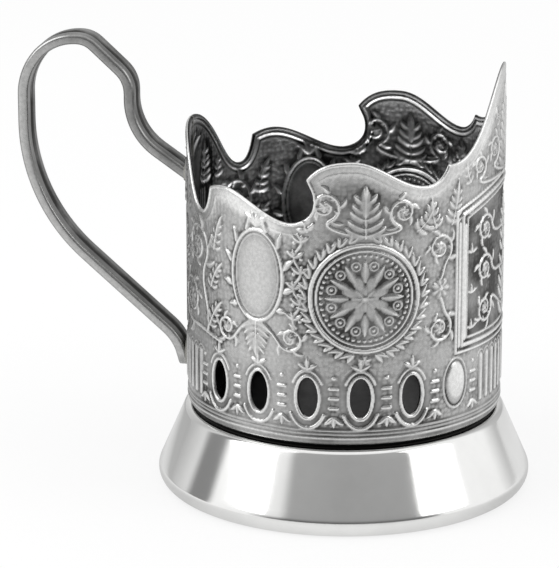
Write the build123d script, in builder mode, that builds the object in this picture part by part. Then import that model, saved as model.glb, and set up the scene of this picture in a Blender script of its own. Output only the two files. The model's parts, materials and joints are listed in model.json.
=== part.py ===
from build123d import *
from math import cos, radians, sin, tan
import os

# A tea glass holder in nickel silver: a pierced, scalloped sleeve of rolled sheet on a flared foot,
# with a bent strip handle brazed to its wall. Millimetres, +Z up. The origin is on the table, under
# the sleeve's axis. The handle stands at -X and the tall peak of the rim at +X. Angles round the
# sleeve are degrees from the handle, through the front, and the back mirrors the front.

# Sheet and brazing
SHEET = 0.8
FILM = 0.1

# Foot, from the table up
FOOT_RADIUS = 41.8
FOOT_TOP = 18.05
FOOT_FLARE = 23.5
SHOULDER_RADIUS = 1.8
FLANGE_BORE = 28.5
HEM_RADIUS = 3.2
HEM_CURL = 275.0
HEM_GRIND = 0.2

# Floor disc, clamped between the foot's flange and the sleeve's
DISC_SHEET = 0.6
DISC_RADIUS = 33.8
PLATEAU_RADIUS = 24.0
PLATEAU_SLOPE = 1.2
PLATEAU_RISE = 0.8

# Sleeve
SLEEVE_RADIUS = 35.0
BORE_RADIUS = SLEEVE_RADIUS - SHEET
SLEEVE_BOTTOM = FOOT_TOP + 2 * FILM + DISC_SHEET
SLEEVE_CORNER = 1.2
SLEEVE_FLANGE_TOP = SLEEVE_BOTTOM + SHEET
SLEEVE_STOCK_TOP = 100.0
SEAM_GAP = 0.3
SEAM_CUT_DEPTH = 3.2

# Half of the rim's outline, as cubic curves from the handle to the tall peak. Each curve is its two
# handles and its end, as (degrees from the handle, height).
RIM_START = (0.0, 82.0)
RIM_CURVES = [
    ((25.0, 82.0), (26.3, 66.6), (36.8, 66.6)),
    ((40.8, 66.6), (42.1, 69.9), (43.0, 72.6)),
    ((45.1, 73.0), (47.6, 73.6), (51.5, 73.6)),
    ((61.6, 73.6), (70.9, 68.0), (79.5, 68.0)),
    ((82.3, 68.0), (88.2, 69.2), (88.2, 73.0)),
    ((88.2, 75.2), (86.4, 76.3), (85.6, 77.8)),
    ((89.5, 80.7), (93.6, 81.8), (102.0, 81.8)),
    ((111.8, 81.8), (119.5, 75.7), (129.4, 75.7)),
    ((134.0, 75.7), (137.2, 77.8), (138.4, 79.6)),
    ((156.2, 77.6), (162.4, 97.0), (180.0, 97.0)),
]
RIM_STEPS = 10
RIM_CUT_MARGIN = 3.0
RIM_CUT_INNER = BORE_RADIUS - RIM_CUT_MARGIN
RIM_CUT_OUTER = SLEEVE_RADIUS + RIM_CUT_MARGIN

# Oval holes, a row on each side
HOLE_WIDTH = 4.3
HOLE_HEIGHT = 8.7
HOLE_LEVEL = 29.6
HOLE_FIRST = 48.6
HOLE_PITCH = 18.85
HOLE_COUNT = 5

# Raised frames of the sleeve's ornament
RELIEF = 0.45
FRAME_WIDTH = 1.3
MEDALLION_ANGLE = 106.5
MEDALLION_LEVEL = 52.0
MEDALLION_RADIUS = 12.4
CARTOUCHE_ANGLE = 66.6
CARTOUCHE_LEVEL = 55.6
CARTOUCHE_WIDTH = 13.8
CARTOUCHE_HEIGHT = 21.2
PANEL_ANGLE = 180.0
PANEL_BOTTOM = 38.0
PANEL_WIDTH = 40.4
PANEL_SPRING = 68.0
PANEL_RISE = 4.0

# Handle strip: its centre line in the XZ plane, as corners (distance from the axis, height) and radii
STRIP_WIDTH = 7.4
STRIP_THICKNESS = 2.4
STRIP_EDGE = 0.8
FLUTE_WIDTH = 2.6
FLUTE_RADIUS = 2.2
TAB_CENTRE = SLEEVE_RADIUS + FILM + STRIP_THICKNESS / 2
TAB_BOTTOM = 24.4
STRIP_REACH = 72.3
STRIP_CREST = 99.1
STRIP_CORNERS = [
    (TAB_CENTRE, TAB_BOTTOM),
    (TAB_CENTRE, 30.0),
    (STRIP_REACH, 61.6),
    (STRIP_REACH, 91.5),
    (65.2, STRIP_CREST),
    (57.7, STRIP_CREST),
    (48.1, 90.3),
    (48.1, 78.4),
    (34.0, 68.6),
]
STRIP_RADII = [11.0, 40.0, 14.0, 11.5, 5.5, 6.9, 14.0]
FILLET_LEG = 0.7
FILLET_TIP = 0.25
PAD_SPREAD = 1.4
PAD_TAPER = 40.0


def rim_point(curve, share, radius):
    """The point of a rim curve at a share of its run, on a cylinder of the given radius."""
    weights = ((1 - share) ** 3, 3 * share * (1 - share) ** 2, 3 * share**2 * (1 - share), share**3)
    angle = radians(sum(weight * corner[0] for weight, corner in zip(weights, curve)))
    height = sum(weight * corner[1] for weight, corner in zip(weights, curve))
    return (-radius * cos(angle), -radius * sin(angle), height)


def rim_edge(curve, radius):
    """One rim curve wrapped on a cylinder, as a smooth edge."""
    return Edge.make_spline([rim_point(curve, step / RIM_STEPS, radius) for step in range(RIM_STEPS + 1)])


def wall_plane(angle, level):
    """A plane through the axis at a level, facing outwards at an angle from the handle."""
    outward = (-cos(radians(angle)), -sin(radians(angle)), 0)
    return Plane(origin=(0, 0, level), x_dir=(-outward[1], outward[0], 0), z_dir=outward)


os.makedirs("parts", exist_ok=True)

# Foot skirt: a flange, a flared cone and a rolled hem, ground flat where it stands
hem_centre_height = HEM_RADIUS - HEM_GRIND
flare = radians(FOOT_FLARE)
hem_start = (
    FOOT_RADIUS - HEM_RADIUS + HEM_RADIUS * cos(flare),
    hem_centre_height + HEM_RADIUS * sin(flare),
)
shoulder = (hem_start[0] - (FOOT_TOP - hem_start[1]) * tan(flare), FOOT_TOP)
with BuildPart() as foot_skirt:
    with BuildSketch(Plane.XZ):
        with BuildLine():
            FilletPolyline((FLANGE_BORE, FOOT_TOP), shoulder, hem_start, radius=SHOULDER_RADIUS)
            JernArc(hem_start, (sin(flare), -cos(flare)), HEM_RADIUS, -HEM_CURL)
            offset(amount=SHEET, side=Side.RIGHT)
        make_face()
    revolve(axis=Axis.Z)
    split(bisect_by=Plane.XY, keep=Keep.TOP)

# Floor disc: a flat rim between the flanges and a raised plateau level with the sleeve's flange
disc_bottom = FOOT_TOP + FILM
disc_top = disc_bottom + DISC_SHEET
with BuildPart() as floor_disc:
    with BuildSketch(Plane.XZ):
        with BuildLine():
            Polyline(
                (0, disc_bottom + PLATEAU_RISE),
                (PLATEAU_RADIUS, disc_bottom + PLATEAU_RISE),
                (PLATEAU_RADIUS + PLATEAU_SLOPE, disc_bottom),
                (DISC_RADIUS, disc_bottom),
                (DISC_RADIUS, disc_top),
                (PLATEAU_RADIUS + PLATEAU_SLOPE, disc_top),
                (PLATEAU_RADIUS, disc_top + PLATEAU_RISE),
                (0, disc_top + PLATEAU_RISE),
                close=True,
            )
        make_face()
    revolve(axis=Axis.Z)

# Brazing films under and over the disc's rim
with BuildPart() as foot_braze:
    with BuildSketch(Plane.XY.offset(FOOT_TOP)):
        Circle(DISC_RADIUS)
        Circle(FLANGE_BORE, mode=Mode.SUBTRACT)
    extrude(amount=FILM)

with BuildPart() as floor_braze:
    with BuildSketch(Plane.XY.offset(SLEEVE_BOTTOM - FILM)):
        Circle(SLEEVE_RADIUS - SLEEVE_CORNER)
        Circle(FLANGE_BORE, mode=Mode.SUBTRACT)
    extrude(amount=FILM)

# Raised frames on the sleeve: a round medallion and an oval cartouche each side, and the peak's panel
field_width = CARTOUCHE_WIDTH - 2 * FRAME_WIDTH
field_height = CARTOUCHE_HEIGHT - 2 * FRAME_WIDTH
with BuildPart() as frames:
    for side in (1, -1):
        with BuildSketch(wall_plane(side * MEDALLION_ANGLE, MEDALLION_LEVEL)):
            Circle(MEDALLION_RADIUS)
            Circle(MEDALLION_RADIUS - FRAME_WIDTH, mode=Mode.SUBTRACT)
        extrude(amount=SLEEVE_RADIUS + RELIEF)
        with BuildSketch(wall_plane(side * CARTOUCHE_ANGLE, CARTOUCHE_LEVEL)):
            Ellipse(CARTOUCHE_WIDTH / 2, CARTOUCHE_HEIGHT / 2)
            Ellipse(field_width / 2, field_height / 2, mode=Mode.SUBTRACT)
        extrude(amount=SLEEVE_RADIUS + RELIEF)
    with BuildSketch(wall_plane(PANEL_ANGLE, 0)):
        with BuildLine():
            left_post = Line((-PANEL_WIDTH / 2, PANEL_SPRING), (-PANEL_WIDTH / 2, PANEL_BOTTOM))
            sill = Line(left_post @ 1, (PANEL_WIDTH / 2, PANEL_BOTTOM))
            right_post = Line(sill @ 1, (PANEL_WIDTH / 2, PANEL_SPRING))
            ThreePointArc(right_post @ 1, (0, PANEL_SPRING + PANEL_RISE), left_post @ 0)
        make_face()
        offset(amount=-FRAME_WIDTH, mode=Mode.SUBTRACT)
    extrude(amount=SLEEVE_RADIUS + RELIEF)
    with BuildSketch(Plane.XY):
        Circle(SLEEVE_RADIUS + RELIEF)
        Circle(SLEEVE_RADIUS - SHEET / 2, mode=Mode.SUBTRACT)
    extrude(amount=SLEEVE_STOCK_TOP, mode=Mode.INTERSECT)

# Sleeve stock: the rolled tube with its turned-in flange, its frames and its rows of oval holes
with BuildPart() as sleeve_stock:
    with BuildSketch(Plane.XZ):
        with BuildLine():
            FilletPolyline(
                (SLEEVE_RADIUS, SLEEVE_STOCK_TOP),
                (SLEEVE_RADIUS, SLEEVE_BOTTOM),
                (FLANGE_BORE, SLEEVE_BOTTOM),
                radius=SLEEVE_CORNER,
            )
            offset(amount=SHEET, side=Side.RIGHT)
        make_face()
    revolve(axis=Axis.Z)
    add(frames.part)
    for side in (1, -1):
        for hole in range(HOLE_COUNT):
            with BuildSketch(wall_plane(side * (HOLE_FIRST + hole * HOLE_PITCH), HOLE_LEVEL)):
                Ellipse(HOLE_WIDTH / 2, HOLE_HEIGHT / 2)
            extrude(amount=SLEEVE_RADIUS + 2 * RELIEF, mode=Mode.SUBTRACT)

# The cut along the rim: a ruled sheet, square to the wall, that follows the outline all the way round
rim_ends = [RIM_START] + [curve[-1] for curve in RIM_CURVES]
rim_half = [(start, *curve) for start, curve in zip(rim_ends, RIM_CURVES)]
rim_back = [tuple((-angle, height) for angle, height in curve) for curve in rim_half]
rim_cut = Shell(
    [
        Face.make_surface_from_curves(rim_edge(curve, RIM_CUT_INNER), rim_edge(curve, RIM_CUT_OUTER))
        for curve in rim_half + rim_back
    ]
)
with BuildPart() as sleeve_whole:
    add(min(sleeve_stock.part.split(rim_cut, keep=Keep.ALL), key=lambda piece: piece.center().Z))

# The butt seam behind the handle, and the brazing that fills it
seam_height = SLEEVE_STOCK_TOP - SLEEVE_FLANGE_TOP - SLEEVE_CORNER
seam_plane = Plane.XY.offset(SLEEVE_FLANGE_TOP + SLEEVE_CORNER)
with BuildPart() as sleeve:
    add(sleeve_whole.part)
    with BuildSketch(seam_plane):
        with Locations((-SLEEVE_RADIUS, 0)):
            Rectangle(SEAM_CUT_DEPTH, SEAM_GAP)
    extrude(amount=seam_height, mode=Mode.SUBTRACT)

with BuildPart() as sleeve_seam_braze:
    add(sleeve_whole.part)
    with BuildSketch(seam_plane):
        with Locations((-SLEEVE_RADIUS, 0)):
            Rectangle(SEAM_CUT_DEPTH, SEAM_GAP)
    extrude(amount=seam_height, mode=Mode.INTERSECT)

# Handle strip: a fluted flat bar bent along its centre line, cut to the wall at its upper end and
# to a round tongue at its lower end
with BuildLine(Plane.XZ, mode=Mode.PRIVATE):
    strip_path = FilletPolyline(*[(-reach, height) for reach, height in STRIP_CORNERS], radius=STRIP_RADII)
flute_offset = STRIP_THICKNESS / 2 + (FLUTE_RADIUS**2 - (FLUTE_WIDTH / 2) ** 2) ** 0.5
with BuildPart() as handle_strip:
    with BuildSketch(Plane(origin=strip_path @ 0, x_dir=(0, 1, 0), z_dir=strip_path % 0)):
        RectangleRounded(STRIP_WIDTH, STRIP_THICKNESS, STRIP_EDGE)
        with Locations((0, flute_offset), (0, -flute_offset)):
            Circle(FLUTE_RADIUS, mode=Mode.SUBTRACT)
    sweep(path=strip_path)
    with BuildSketch(Plane.XY):
        Circle(SLEEVE_RADIUS + FILM)
    extrude(amount=SLEEVE_STOCK_TOP, mode=Mode.SUBTRACT)
    with BuildSketch(Plane.YZ.offset(-SLEEVE_RADIUS)):
        with Locations((0, TAB_BOTTOM + STRIP_WIDTH / 4)):
            Rectangle(STRIP_WIDTH, STRIP_WIDTH / 2)
        with Locations((0, TAB_BOTTOM + STRIP_WIDTH / 2)):
            Circle(STRIP_WIDTH / 2, mode=Mode.SUBTRACT)
    extrude(amount=-2 * STRIP_THICKNESS, mode=Mode.SUBTRACT)

# Brazed joints of the handle: a collar round the upper end and a pad round the tongue
end_slope = (strip_path % 1).Z / (strip_path % 1).X
end_height = STRIP_THICKNESS * (1 + end_slope**2) ** 0.5
with BuildPart() as handle_upper_braze:
    for past_wall, leg in ((-FILLET_LEG, FILLET_LEG), (FILLET_LEG, FILLET_TIP)):
        reach = SLEEVE_RADIUS + past_wall
        end_level = STRIP_CORNERS[-1][1] - (reach - STRIP_CORNERS[-1][0]) * end_slope
        with BuildSketch(Plane.YZ.offset(-reach)):
            with Locations((0, end_level)):
                RectangleRounded(STRIP_WIDTH + 2 * leg, end_height + 2 * leg, STRIP_EDGE + leg)
    loft()
    add(handle_strip.part, mode=Mode.SUBTRACT)
    with BuildSketch(Plane.XY):
        Circle(SLEEVE_RADIUS)
    extrude(amount=SLEEVE_STOCK_TOP, mode=Mode.SUBTRACT)

with BuildPart() as handle_lower_braze:
    with BuildSketch(Plane.YZ.offset(-SLEEVE_RADIUS + FILLET_LEG)):
        with Locations((0, TAB_BOTTOM + STRIP_WIDTH / 2)):
            Circle(STRIP_WIDTH / 2 + PAD_SPREAD)
    extrude(amount=-2 * FILLET_LEG, taper=PAD_TAPER)
    add(handle_strip.part, mode=Mode.SUBTRACT)
    with BuildSketch(Plane.XY):
        Circle(SLEEVE_RADIUS)
    extrude(amount=SLEEVE_STOCK_TOP, mode=Mode.SUBTRACT)

pieces = {
    "sleeve": sleeve,
    "sleeve_seam_braze": sleeve_seam_braze,
    "floor_disc": floor_disc,
    "floor_braze": floor_braze,
    "foot_skirt": foot_skirt,
    "foot_braze": foot_braze,
    "handle_strip": handle_strip,
    "handle_upper_braze": handle_upper_braze,
    "handle_lower_braze": handle_lower_braze,
}
for name, piece in pieces.items():
    piece.part.label = name
    export_step(piece.part, f"parts/{name}.step")
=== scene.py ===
"""The looks of an embossed metal tea glass holder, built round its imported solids."""

import json
import math

import bpy
import numpy as np
from bpy.props import FloatProperty, FloatVectorProperty, PointerProperty
from bpy.types import Operator, Panel, PropertyGroup
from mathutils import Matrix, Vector


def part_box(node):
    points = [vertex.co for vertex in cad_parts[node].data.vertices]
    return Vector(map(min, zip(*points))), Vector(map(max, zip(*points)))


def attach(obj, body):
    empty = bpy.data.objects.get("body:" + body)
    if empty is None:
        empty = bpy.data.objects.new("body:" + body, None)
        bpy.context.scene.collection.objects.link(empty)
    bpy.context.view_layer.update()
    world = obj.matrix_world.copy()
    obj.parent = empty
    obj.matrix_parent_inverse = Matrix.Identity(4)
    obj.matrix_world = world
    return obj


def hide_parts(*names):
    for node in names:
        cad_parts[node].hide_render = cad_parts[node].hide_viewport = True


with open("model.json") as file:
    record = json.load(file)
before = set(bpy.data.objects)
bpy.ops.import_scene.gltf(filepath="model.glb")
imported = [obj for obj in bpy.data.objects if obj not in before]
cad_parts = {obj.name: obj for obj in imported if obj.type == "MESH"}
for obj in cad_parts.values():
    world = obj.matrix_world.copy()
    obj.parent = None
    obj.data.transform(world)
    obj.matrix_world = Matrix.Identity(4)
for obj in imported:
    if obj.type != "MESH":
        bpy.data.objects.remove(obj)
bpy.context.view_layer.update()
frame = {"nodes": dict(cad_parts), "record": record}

bl_info = {
    "name": "Embossed Tea Glass Holder",
    "version": (1, 0, 0),
    "blender": (4, 5, 0),
    "location": "View3D > Sidebar > Glass Holder",
    "description": "Pierced and embossed metal holder for a tea glass, with its foot and strip handle",
    "category": "Add Mesh",
}

# Shapes are worked out in millimetres. The sleeve's sheet is laid flat: s runs round the wall from the
# handle through the front to the tall peak, z is the height, and the back mirrors the front.
MM = 0.001
WHOLE_SHEET = (slice(None), slice(None))
FAR_OFF = 99.0
EDGE_MARGIN = 6.0
BORE = next(mount for mount in frame["record"]["mounts"] if mount["name"] == "glass_seat")["dims"]["r_mm"]
SLEEVE_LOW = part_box("sleeve")[0]
FOOT_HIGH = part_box("foot_skirt")[1]
DISC_LOW, DISC_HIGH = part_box("floor_disc")
STRIP_LOW, STRIP_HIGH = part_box("handle_strip")

# Sheet, flange and rim of the sleeve
SHEET = 0.8
WALL = BORE + SHEET
CORNER = 1.2
INNER_CORNER = CORNER - SHEET
SLEEVE_BOTTOM = SLEEVE_LOW[2] / MM
WALL_START = SLEEVE_BOTTOM + CORNER
FLANGE_BORE = 28.5
SEAM_EDGE = 0.15
HALF_TURN = math.pi * WALL
RIM_START = (0.0, 82.0)
RIM_CURVES = (
    ((25.0, 82.0), (26.3, 66.6), (36.8, 66.6)),
    ((40.8, 66.6), (42.1, 69.9), (43.0, 72.6)),
    ((45.1, 73.0), (47.6, 73.6), (51.5, 73.6)),
    ((61.6, 73.6), (70.9, 68.0), (79.5, 68.0)),
    ((82.3, 68.0), (88.2, 69.2), (88.2, 73.0)),
    ((88.2, 75.2), (86.4, 76.3), (85.6, 77.8)),
    ((89.5, 80.7), (93.6, 81.8), (102.0, 81.8)),
    ((111.8, 81.8), (119.5, 75.7), (129.4, 75.7)),
    ((134.0, 75.7), (137.2, 77.8), (138.4, 79.6)),
    ((156.2, 77.6), (162.4, 97.0), (180.0, 97.0)),
)
RIM_STEPS = 26

# Border of the rim, by distance from the edge, and how far it is rubbed bright along the sheet: wear and a
# painted highlight, stronger at some places round the wall than at others
RIM_GROOVE = ((0.95, 1.2, 1.75), (0.0, 0.4, 0.0))
BEAD_PLACE, BEAD_HALF, BEAD_RISE = 0.36, 0.4, 0.6
LINE_PLACE, LINE_HALF, LINE_RISE = 2.4, 0.26, 0.14
BAND_END, BAND_FADE = 5.0, 2.4
PEAK_FADE = ((79.0, 86.0), (1.0, 0.15))
BAND_WEAR_AND_HIGHLIGHT = (
    (24.0, 34.0, 42.0, 48.0, 60.0, 66.0, 76.0, 84.0, 92.0, 100.0),
    (0.3, 1.0, 1.0, 0.45, 0.6, 0.75, 1.0, 0.45, 0.5, 1.0),
)

# Sectors that the sleeve's surface is divided into, in degrees from the handle
SECTOR_SPLITS = (0.0, 84.5, 129.5, 180.0)
SECTOR_NAMES = ("handle_side", "middle", "peak_side")

# Holes and frames on the sleeve, in degrees from the handle and millimetres
HOLE_LEVEL = 29.6
HOLE_FIRST = 48.6
HOLE_PITCH = 18.85
HOLE_COUNT = 5
BOSS_LIFT = 0.8
BOSS_HALVES = (2.9, 4.9)
MEDALLION = (106.5, 52.0)
MEDALLION_RADIUS = 12.4
CARTOUCHE = (66.6, 55.6)
CARTOUCHE_HALVES = (6.9, 10.6)
PANEL_BOTTOM = 38.0
PANEL_HALF = 20.2
PANEL_SPRING = 68.0
PANEL_RISE = 4.0
PANEL_STEPS = 40
PANEL_POST = slice(42, 78)

# Ornament on the flat sheet, with heights as shares of the full relief. A tendril is its root, heading,
# heart, radius, first angle and sweep of its spiral, height and leaves. An acanthus leaf is its root, tip,
# bend, width, height and lobes. A spray is its leaves' directions and lengths, their half width, height and
# bend. A vine is its two ends, waves, swing, leaf length and height. A panel line is its inset, half width,
# height and rubbing, which brightens it as wear and as a painted highlight.
PANEL_LINES = ((0.5, 0.5, 0.9, 1.0), (-1.0, 0.36, 0.65, 1.0), (1.9, 0.26, 0.4, 0.3))
PANEL_POST_LINES = ((1.15, 0.55, 0.6, 1.0), (-0.3, 0.45, 0.5, 1.0))
MEDALLION_BEADS = 48
MEDALLION_PETALS = 12
WREATH_LEAVES = 15
CROWN_TENDRILS = (
    ((-1.0, 0.4), -82.0, (-8.6, 6.9), 3.3, -70.0, 520.0, 0.7, 5),
    ((1.0, 0.4), 82.0, (8.2, 5.3), 3.1, 250.0, -520.0, 0.7, 5),
)
CROWN_LEAVES = (
    ((0.0, 0.0), (0.0, 11.4), 0.0, 5.0, 1.0, 5),
    ((-12.4, 1.3), (-13.4, 9.1), 0.16, 2.4, 0.85, 4),
    ((11.6, 0.9), (15.6, 6.5), -0.2, 2.6, 0.85, 4),
)
CARTOUCHE_TENDRILS = (
    ((-0.8, 0.6), -115.0, (-8.3, -2.4), 2.9, -30.0, -500.0, 0.7, 5),
    ((0.8, 0.6), 115.0, (8.3, -2.6), 2.9, 210.0, 500.0, 0.7, 5),
)
CARTOUCHE_LEAVES = (((0.0, 0.2), (0.0, -7.6), 0.0, 4.2, 1.0, 5),)
CARTOUCHE_FRINGE = ((24.0, 3.4), (52.0, 3.6), (80.0, 3.4), (108.0, 3.0), (134.0, 2.6))
CARTOUCHE_VINE = ((50.2, 45.0), (50.6, 65.8), 3, 0.8, 2.6, 0.7)
HANDLE_TENDRILS = (
    ((30.4, 38.6), -80.0, (16.9, 45.6), 5.6, -80.0, -560.0, 0.75, 7),
    ((25.4, 40.0), 15.0, (20.4, 58.3), 5.2, -40.0, 560.0, 0.75, 7),
)
HANDLE_LEAVES = (
    ((26.2, 41.4), (30.6, 47.6), 0.1, 2.6, 0.9, 4),
    ((26.8, 50.2), (30.8, 56.4), 0.14, 2.4, 0.85, 4),
    ((28.0, 58.8), (30.6, 66.8), 0.1, 2.6, 0.85, 4),
    ((12.2, 53.2), (10.4, 62.6), -0.12, 2.4, 0.85, 4),
    ((8.2, 65.0), (8.6, 74.6), -0.06, 3.4, 0.9, 5),
    ((14.6, 65.2), (14.6, 70.0), 0.1, 2.0, 0.6, 3),
)
HANDLE_VINE = ((10.9, 37.8), (10.5, 51.6), 2, 0.4, 1.7, 0.55)
HANDLE_REEDS = (6.0, 7.1, 8.2)
HANDLE_REED_ENDS = (37.4, 63.6)
LOW_PEAK_ROOT = (0.0, 72.9)
BESIDE_FLOWER = (82.6, 52.6)
BESIDE_TENDRILS = (
    ((82.6, 54.8), 30.0, (82.4, 61.6), 3.3, -50.0, 520.0, 0.7, 5),
    ((82.6, 50.4), 150.0, (82.4, 43.6), 3.3, 50.0, -520.0, 0.7, 5),
)
BESIDE_LEAVES = (
    ((81.2, 66.2), (80.0, 73.0), 0.1, 2.6, 0.85, 4),
    ((85.6, 66.4), (87.4, 76.0), -0.06, 2.8, 0.85, 5),
)
PANEL_STEM = (40.6, 65.4)
PANEL_TENDRILS = (
    ((HALF_TURN - 0.6, 43.0), -80.0, (97.6, 45.0), 3.3, 10.0, -520.0, 0.6, 5),
    ((HALF_TURN - 0.6, 52.0), -80.0, (97.6, 54.0), 3.3, 10.0, 520.0, 0.6, 5),
    ((HALF_TURN - 0.6, 61.0), -80.0, (97.6, 63.0), 3.3, 10.0, 520.0, 0.6, 5),
)
PANEL_SPRIGS = ((92.2, 41.6), (92.2, 49.6), (92.2, 58.6), (92.2, 67.2))
PANEL_FIELD_INSET = 2.1
PEAK_TENDRILS = (
    ((-0.8, 0.0), -88.0, (-8.4, 6.0), 3.2, -80.0, 520.0, 0.7, 5),
    ((-4.0, -0.6), -92.0, (-15.2, 3.4), 2.6, -70.0, 500.0, 0.65, 5),
)
PEAK_LEAVES = (
    ((0.0, 0.0), (0.0, 18.5), 0.0, 6.2, 0.85, 7),
    ((-18.6, 0.6), (-19.8, 5.0), 0.2, 1.7, 0.6, 3),
    ((-5.4, 11.2), (-7.8, 15.4), 0.2, 1.7, 0.6, 3),
)
HOLE_SPRAY = ((-62, 0, 62), (2.4, 2.8, 2.4), 0.62, 0.8, 0.1)
RUNG_SPRAY = ((128, 180, 232), (2.8, 2.4, 2.8), 0.62, 0.8, 0.12)
CARTOUCHE_SPRAY = ((-48, -20, 20, 48), (4.0, 3.6, 3.6, 4.0), 0.8, 0.85, 0.14)
LOW_PEAK_SPRAY = ((-60, -30, 0, 30, 60), (7.2, 6.2, 5.8, 6.2, 7.2), 1.0, 0.7, 0.12)
PANEL_SPRAY = ((-70, 0, 70), (1.9, 2.2, 2.4), 0.5, 0.5, 0.1)
BASE_LINES = ((20.6, 0.36, 0.5), (21.5, 0.26, 0.34), (22.3, 0.26, 0.34))
TONGUE_ENDS = (34.4, 24.8)
TONGUE_PITCH = HALF_TURN / 40
TONGUES = (*range(3, 9), *range(35, 41))
STIPPLE_PITCH = 1.15

# Heights and width of the bare wall that the handle's two ends are brazed to
JOINT_LEVELS = ((23.0, 36.0), (64.5, 72.4))
JOINT_HALF = 4.8

# How the sheet is pressed through to the inside, rounded at its edges and lipped inside the rim. The rim's
# part of the wall starts at one height and is whole a little higher.
PRESS_THROUGH = 1.7
EDGE_ROUNDING, EDGE_RUN = 0.16, 0.45
LIP_DEPTH, LIP_RUN = 0.2, 0.95
RIM_PART, RIM_PART_FADE = 58.0, 3.0

# Foot and floor disc. The disc is painted black as shade from a little way off its middle towards the
# handle.
FOOT_FLARE = math.radians(23.5)
SHOULDER_RADIUS = 1.8
HEM_RADIUS = 3.2
HEM_CURL = math.radians(275.0)
HEM_GRIND = 0.2
DISC_SHEET = 0.6
PLATEAU_RADIUS = 24.0
PLATEAU_SLOPE = 1.2
PLATEAU_RISE = 0.8
PLATEAU_RINGS = 12
PLATEAU_HEART = 0.4
FOOT_SEGMENTS = 288
DISC_SEGMENTS = 144
SHEET_SHARP = math.radians(34.0)
FLOOR_SHADE_START, FLOOR_SHADE_RUN = 10.0, 7.0

# Handle strip: corners of its centre line, as distance from the axis and height, and their radii. Its upper
# end sinks a little into the wall, and its rings stop a little before it.
STRIP_EDGE = 0.8
FLUTE_WIDTH = 2.6
FLUTE_RADIUS = 2.2
STRIP_CORNERS = (
    (36.3, 24.4),
    (36.3, 30.0),
    (72.3, 61.6),
    (72.3, 91.5),
    (65.2, 99.1),
    (57.7, 99.1),
    (48.1, 90.3),
    (48.1, 78.4),
    (34.0, 68.6),
)
STRIP_RADII = (11.0, 40.0, 14.0, 11.5, 5.5, 6.9, 14.0)
STRIP_ARC_STEP = 0.8
STRIP_RING_STEP = 0.6
STRIP_END_SINK = 0.2
STRIP_END_CLEAR = 1.4
STRIP_SHARP = math.radians(28.0)
CREST_LEVEL, CREST_RUN = 97.0, 6.0

# How dark the strip is: its face inside the loop, painted darker as shade, and outside it, its flutes,
# all of it past the crest as painted shade, and how much brighter its narrow sides are before the crest,
# as a painted highlight
INNER_FACE_PAINTED_SHADE = 0.5
OUTER_FACE_DARK = 0.34
FLUTE_DARK = 0.7
PAST_CREST_PAINTED_SHADE = 0.26
NARROW_PAINTED_HIGHLIGHT = 0.32

# Value over which metal is painted black as shadow, how rubbed metal brightens as wear and painted
# highlight, and the heights between which the inside darkens towards the floor
PAINTED_SHADOW = 3.0
INSIDE_DARK_LEVELS = (44.0, 30.0)
RUBBED_AND_HIGHLIT_GAIN, RUBBED_AND_HIGHLIT_LIMIT = 1.7, 0.92
WHITE = (1.0, 1.0, 1.0)
GRAIN_BLACK = (0.02, 0.02, 0.02)
PAINTED_SHADOW_BLACK = (0.004, 0.004, 0.004)

# What the metal mirrors of the surroundings and of the floor: grey levels round the axis, by degrees from
# the camera, clockwise from above
SURROUNDINGS = (
    (-180.0, 0.80),
    (-152.0, 0.60),
    (-130.0, 0.52),
    (-113.0, 0.76),
    (-107.0, 0.25),
    (-93.0, 0.25),
    (-88.0, 1.00),
    (-42.0, 1.00),
    (-36.0, 0.42),
    (0.0, 0.38),
    (53.5, 0.42),
    (61.5, 1.00),
    (112.0, 1.00),
    (128.0, 0.54),
    (152.0, 0.46),
    (180.0, 0.80),
)
FLOOR_FIELDS = (
    (-180.0, 0.38),
    (-150.0, 0.24),
    (-112.0, 0.28),
    (-90.0, 0.92),
    (-50.0, 1.00),
    (-34.0, 0.68),
    (0.0, 0.60),
    (40.0, 0.66),
    (62.0, 0.86),
    (100.0, 1.00),
    (150.0, 0.50),
    (180.0, 0.40),
)
HORIZON_GREY = (0.05, 0.05, 0.05)
WORLD_LIGHT = (0.9, 0.9, 0.9)

# The front field by its angle from the camera, in degrees, and the heights of a mirrored direction between
# which the horizon darkens and the white overhead starts
FRONT_FIELD = (62.0, 46.0)
HORIZON_START = (0.46, 0.08)
HORIZON_DARK = 0.85
OVERHEAD_START = (0.72, 0.84)

# Grey of the mirrored floor close to the foot, in front and on the other sides, and just beyond, with the
# distances in metres over which they change
FRONT_FLOOR = (0.85, 0.85, 0.85)
NEAR_FLOOR = (0.53, 0.53, 0.53)
BESIDE_FLOOR = (0.76, 0.76, 0.76)
FRONT_FLOOR_START = (0.02, 0.045)
NEAR_FLOOR_END = (0.062, 0.046)
FLOOR_FIELDS_START = (0.055, 0.14)

# Floor, lamps and camera. A lamp is its name, its power's name, side, azimuth and elevation.
FLOOR_HALF = 4.0
FLOOR_GLOW = 0.72
LAMPS = (
    ("Key lamp", "key_power", 0.6, -58.0, 34.0),
    ("Fill lamp", "fill_power", 0.5, 74.0, 28.0),
)
LAMP_DISTANCE = 0.9
CAMERA_TARGET = Vector((-0.014277, -0.002646, 0.04503))
CAMERA_LENS = 208.14
CAMERA_SENSOR = 36.0
CAMERA_CLIP = (0.01, 50.0)


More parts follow.
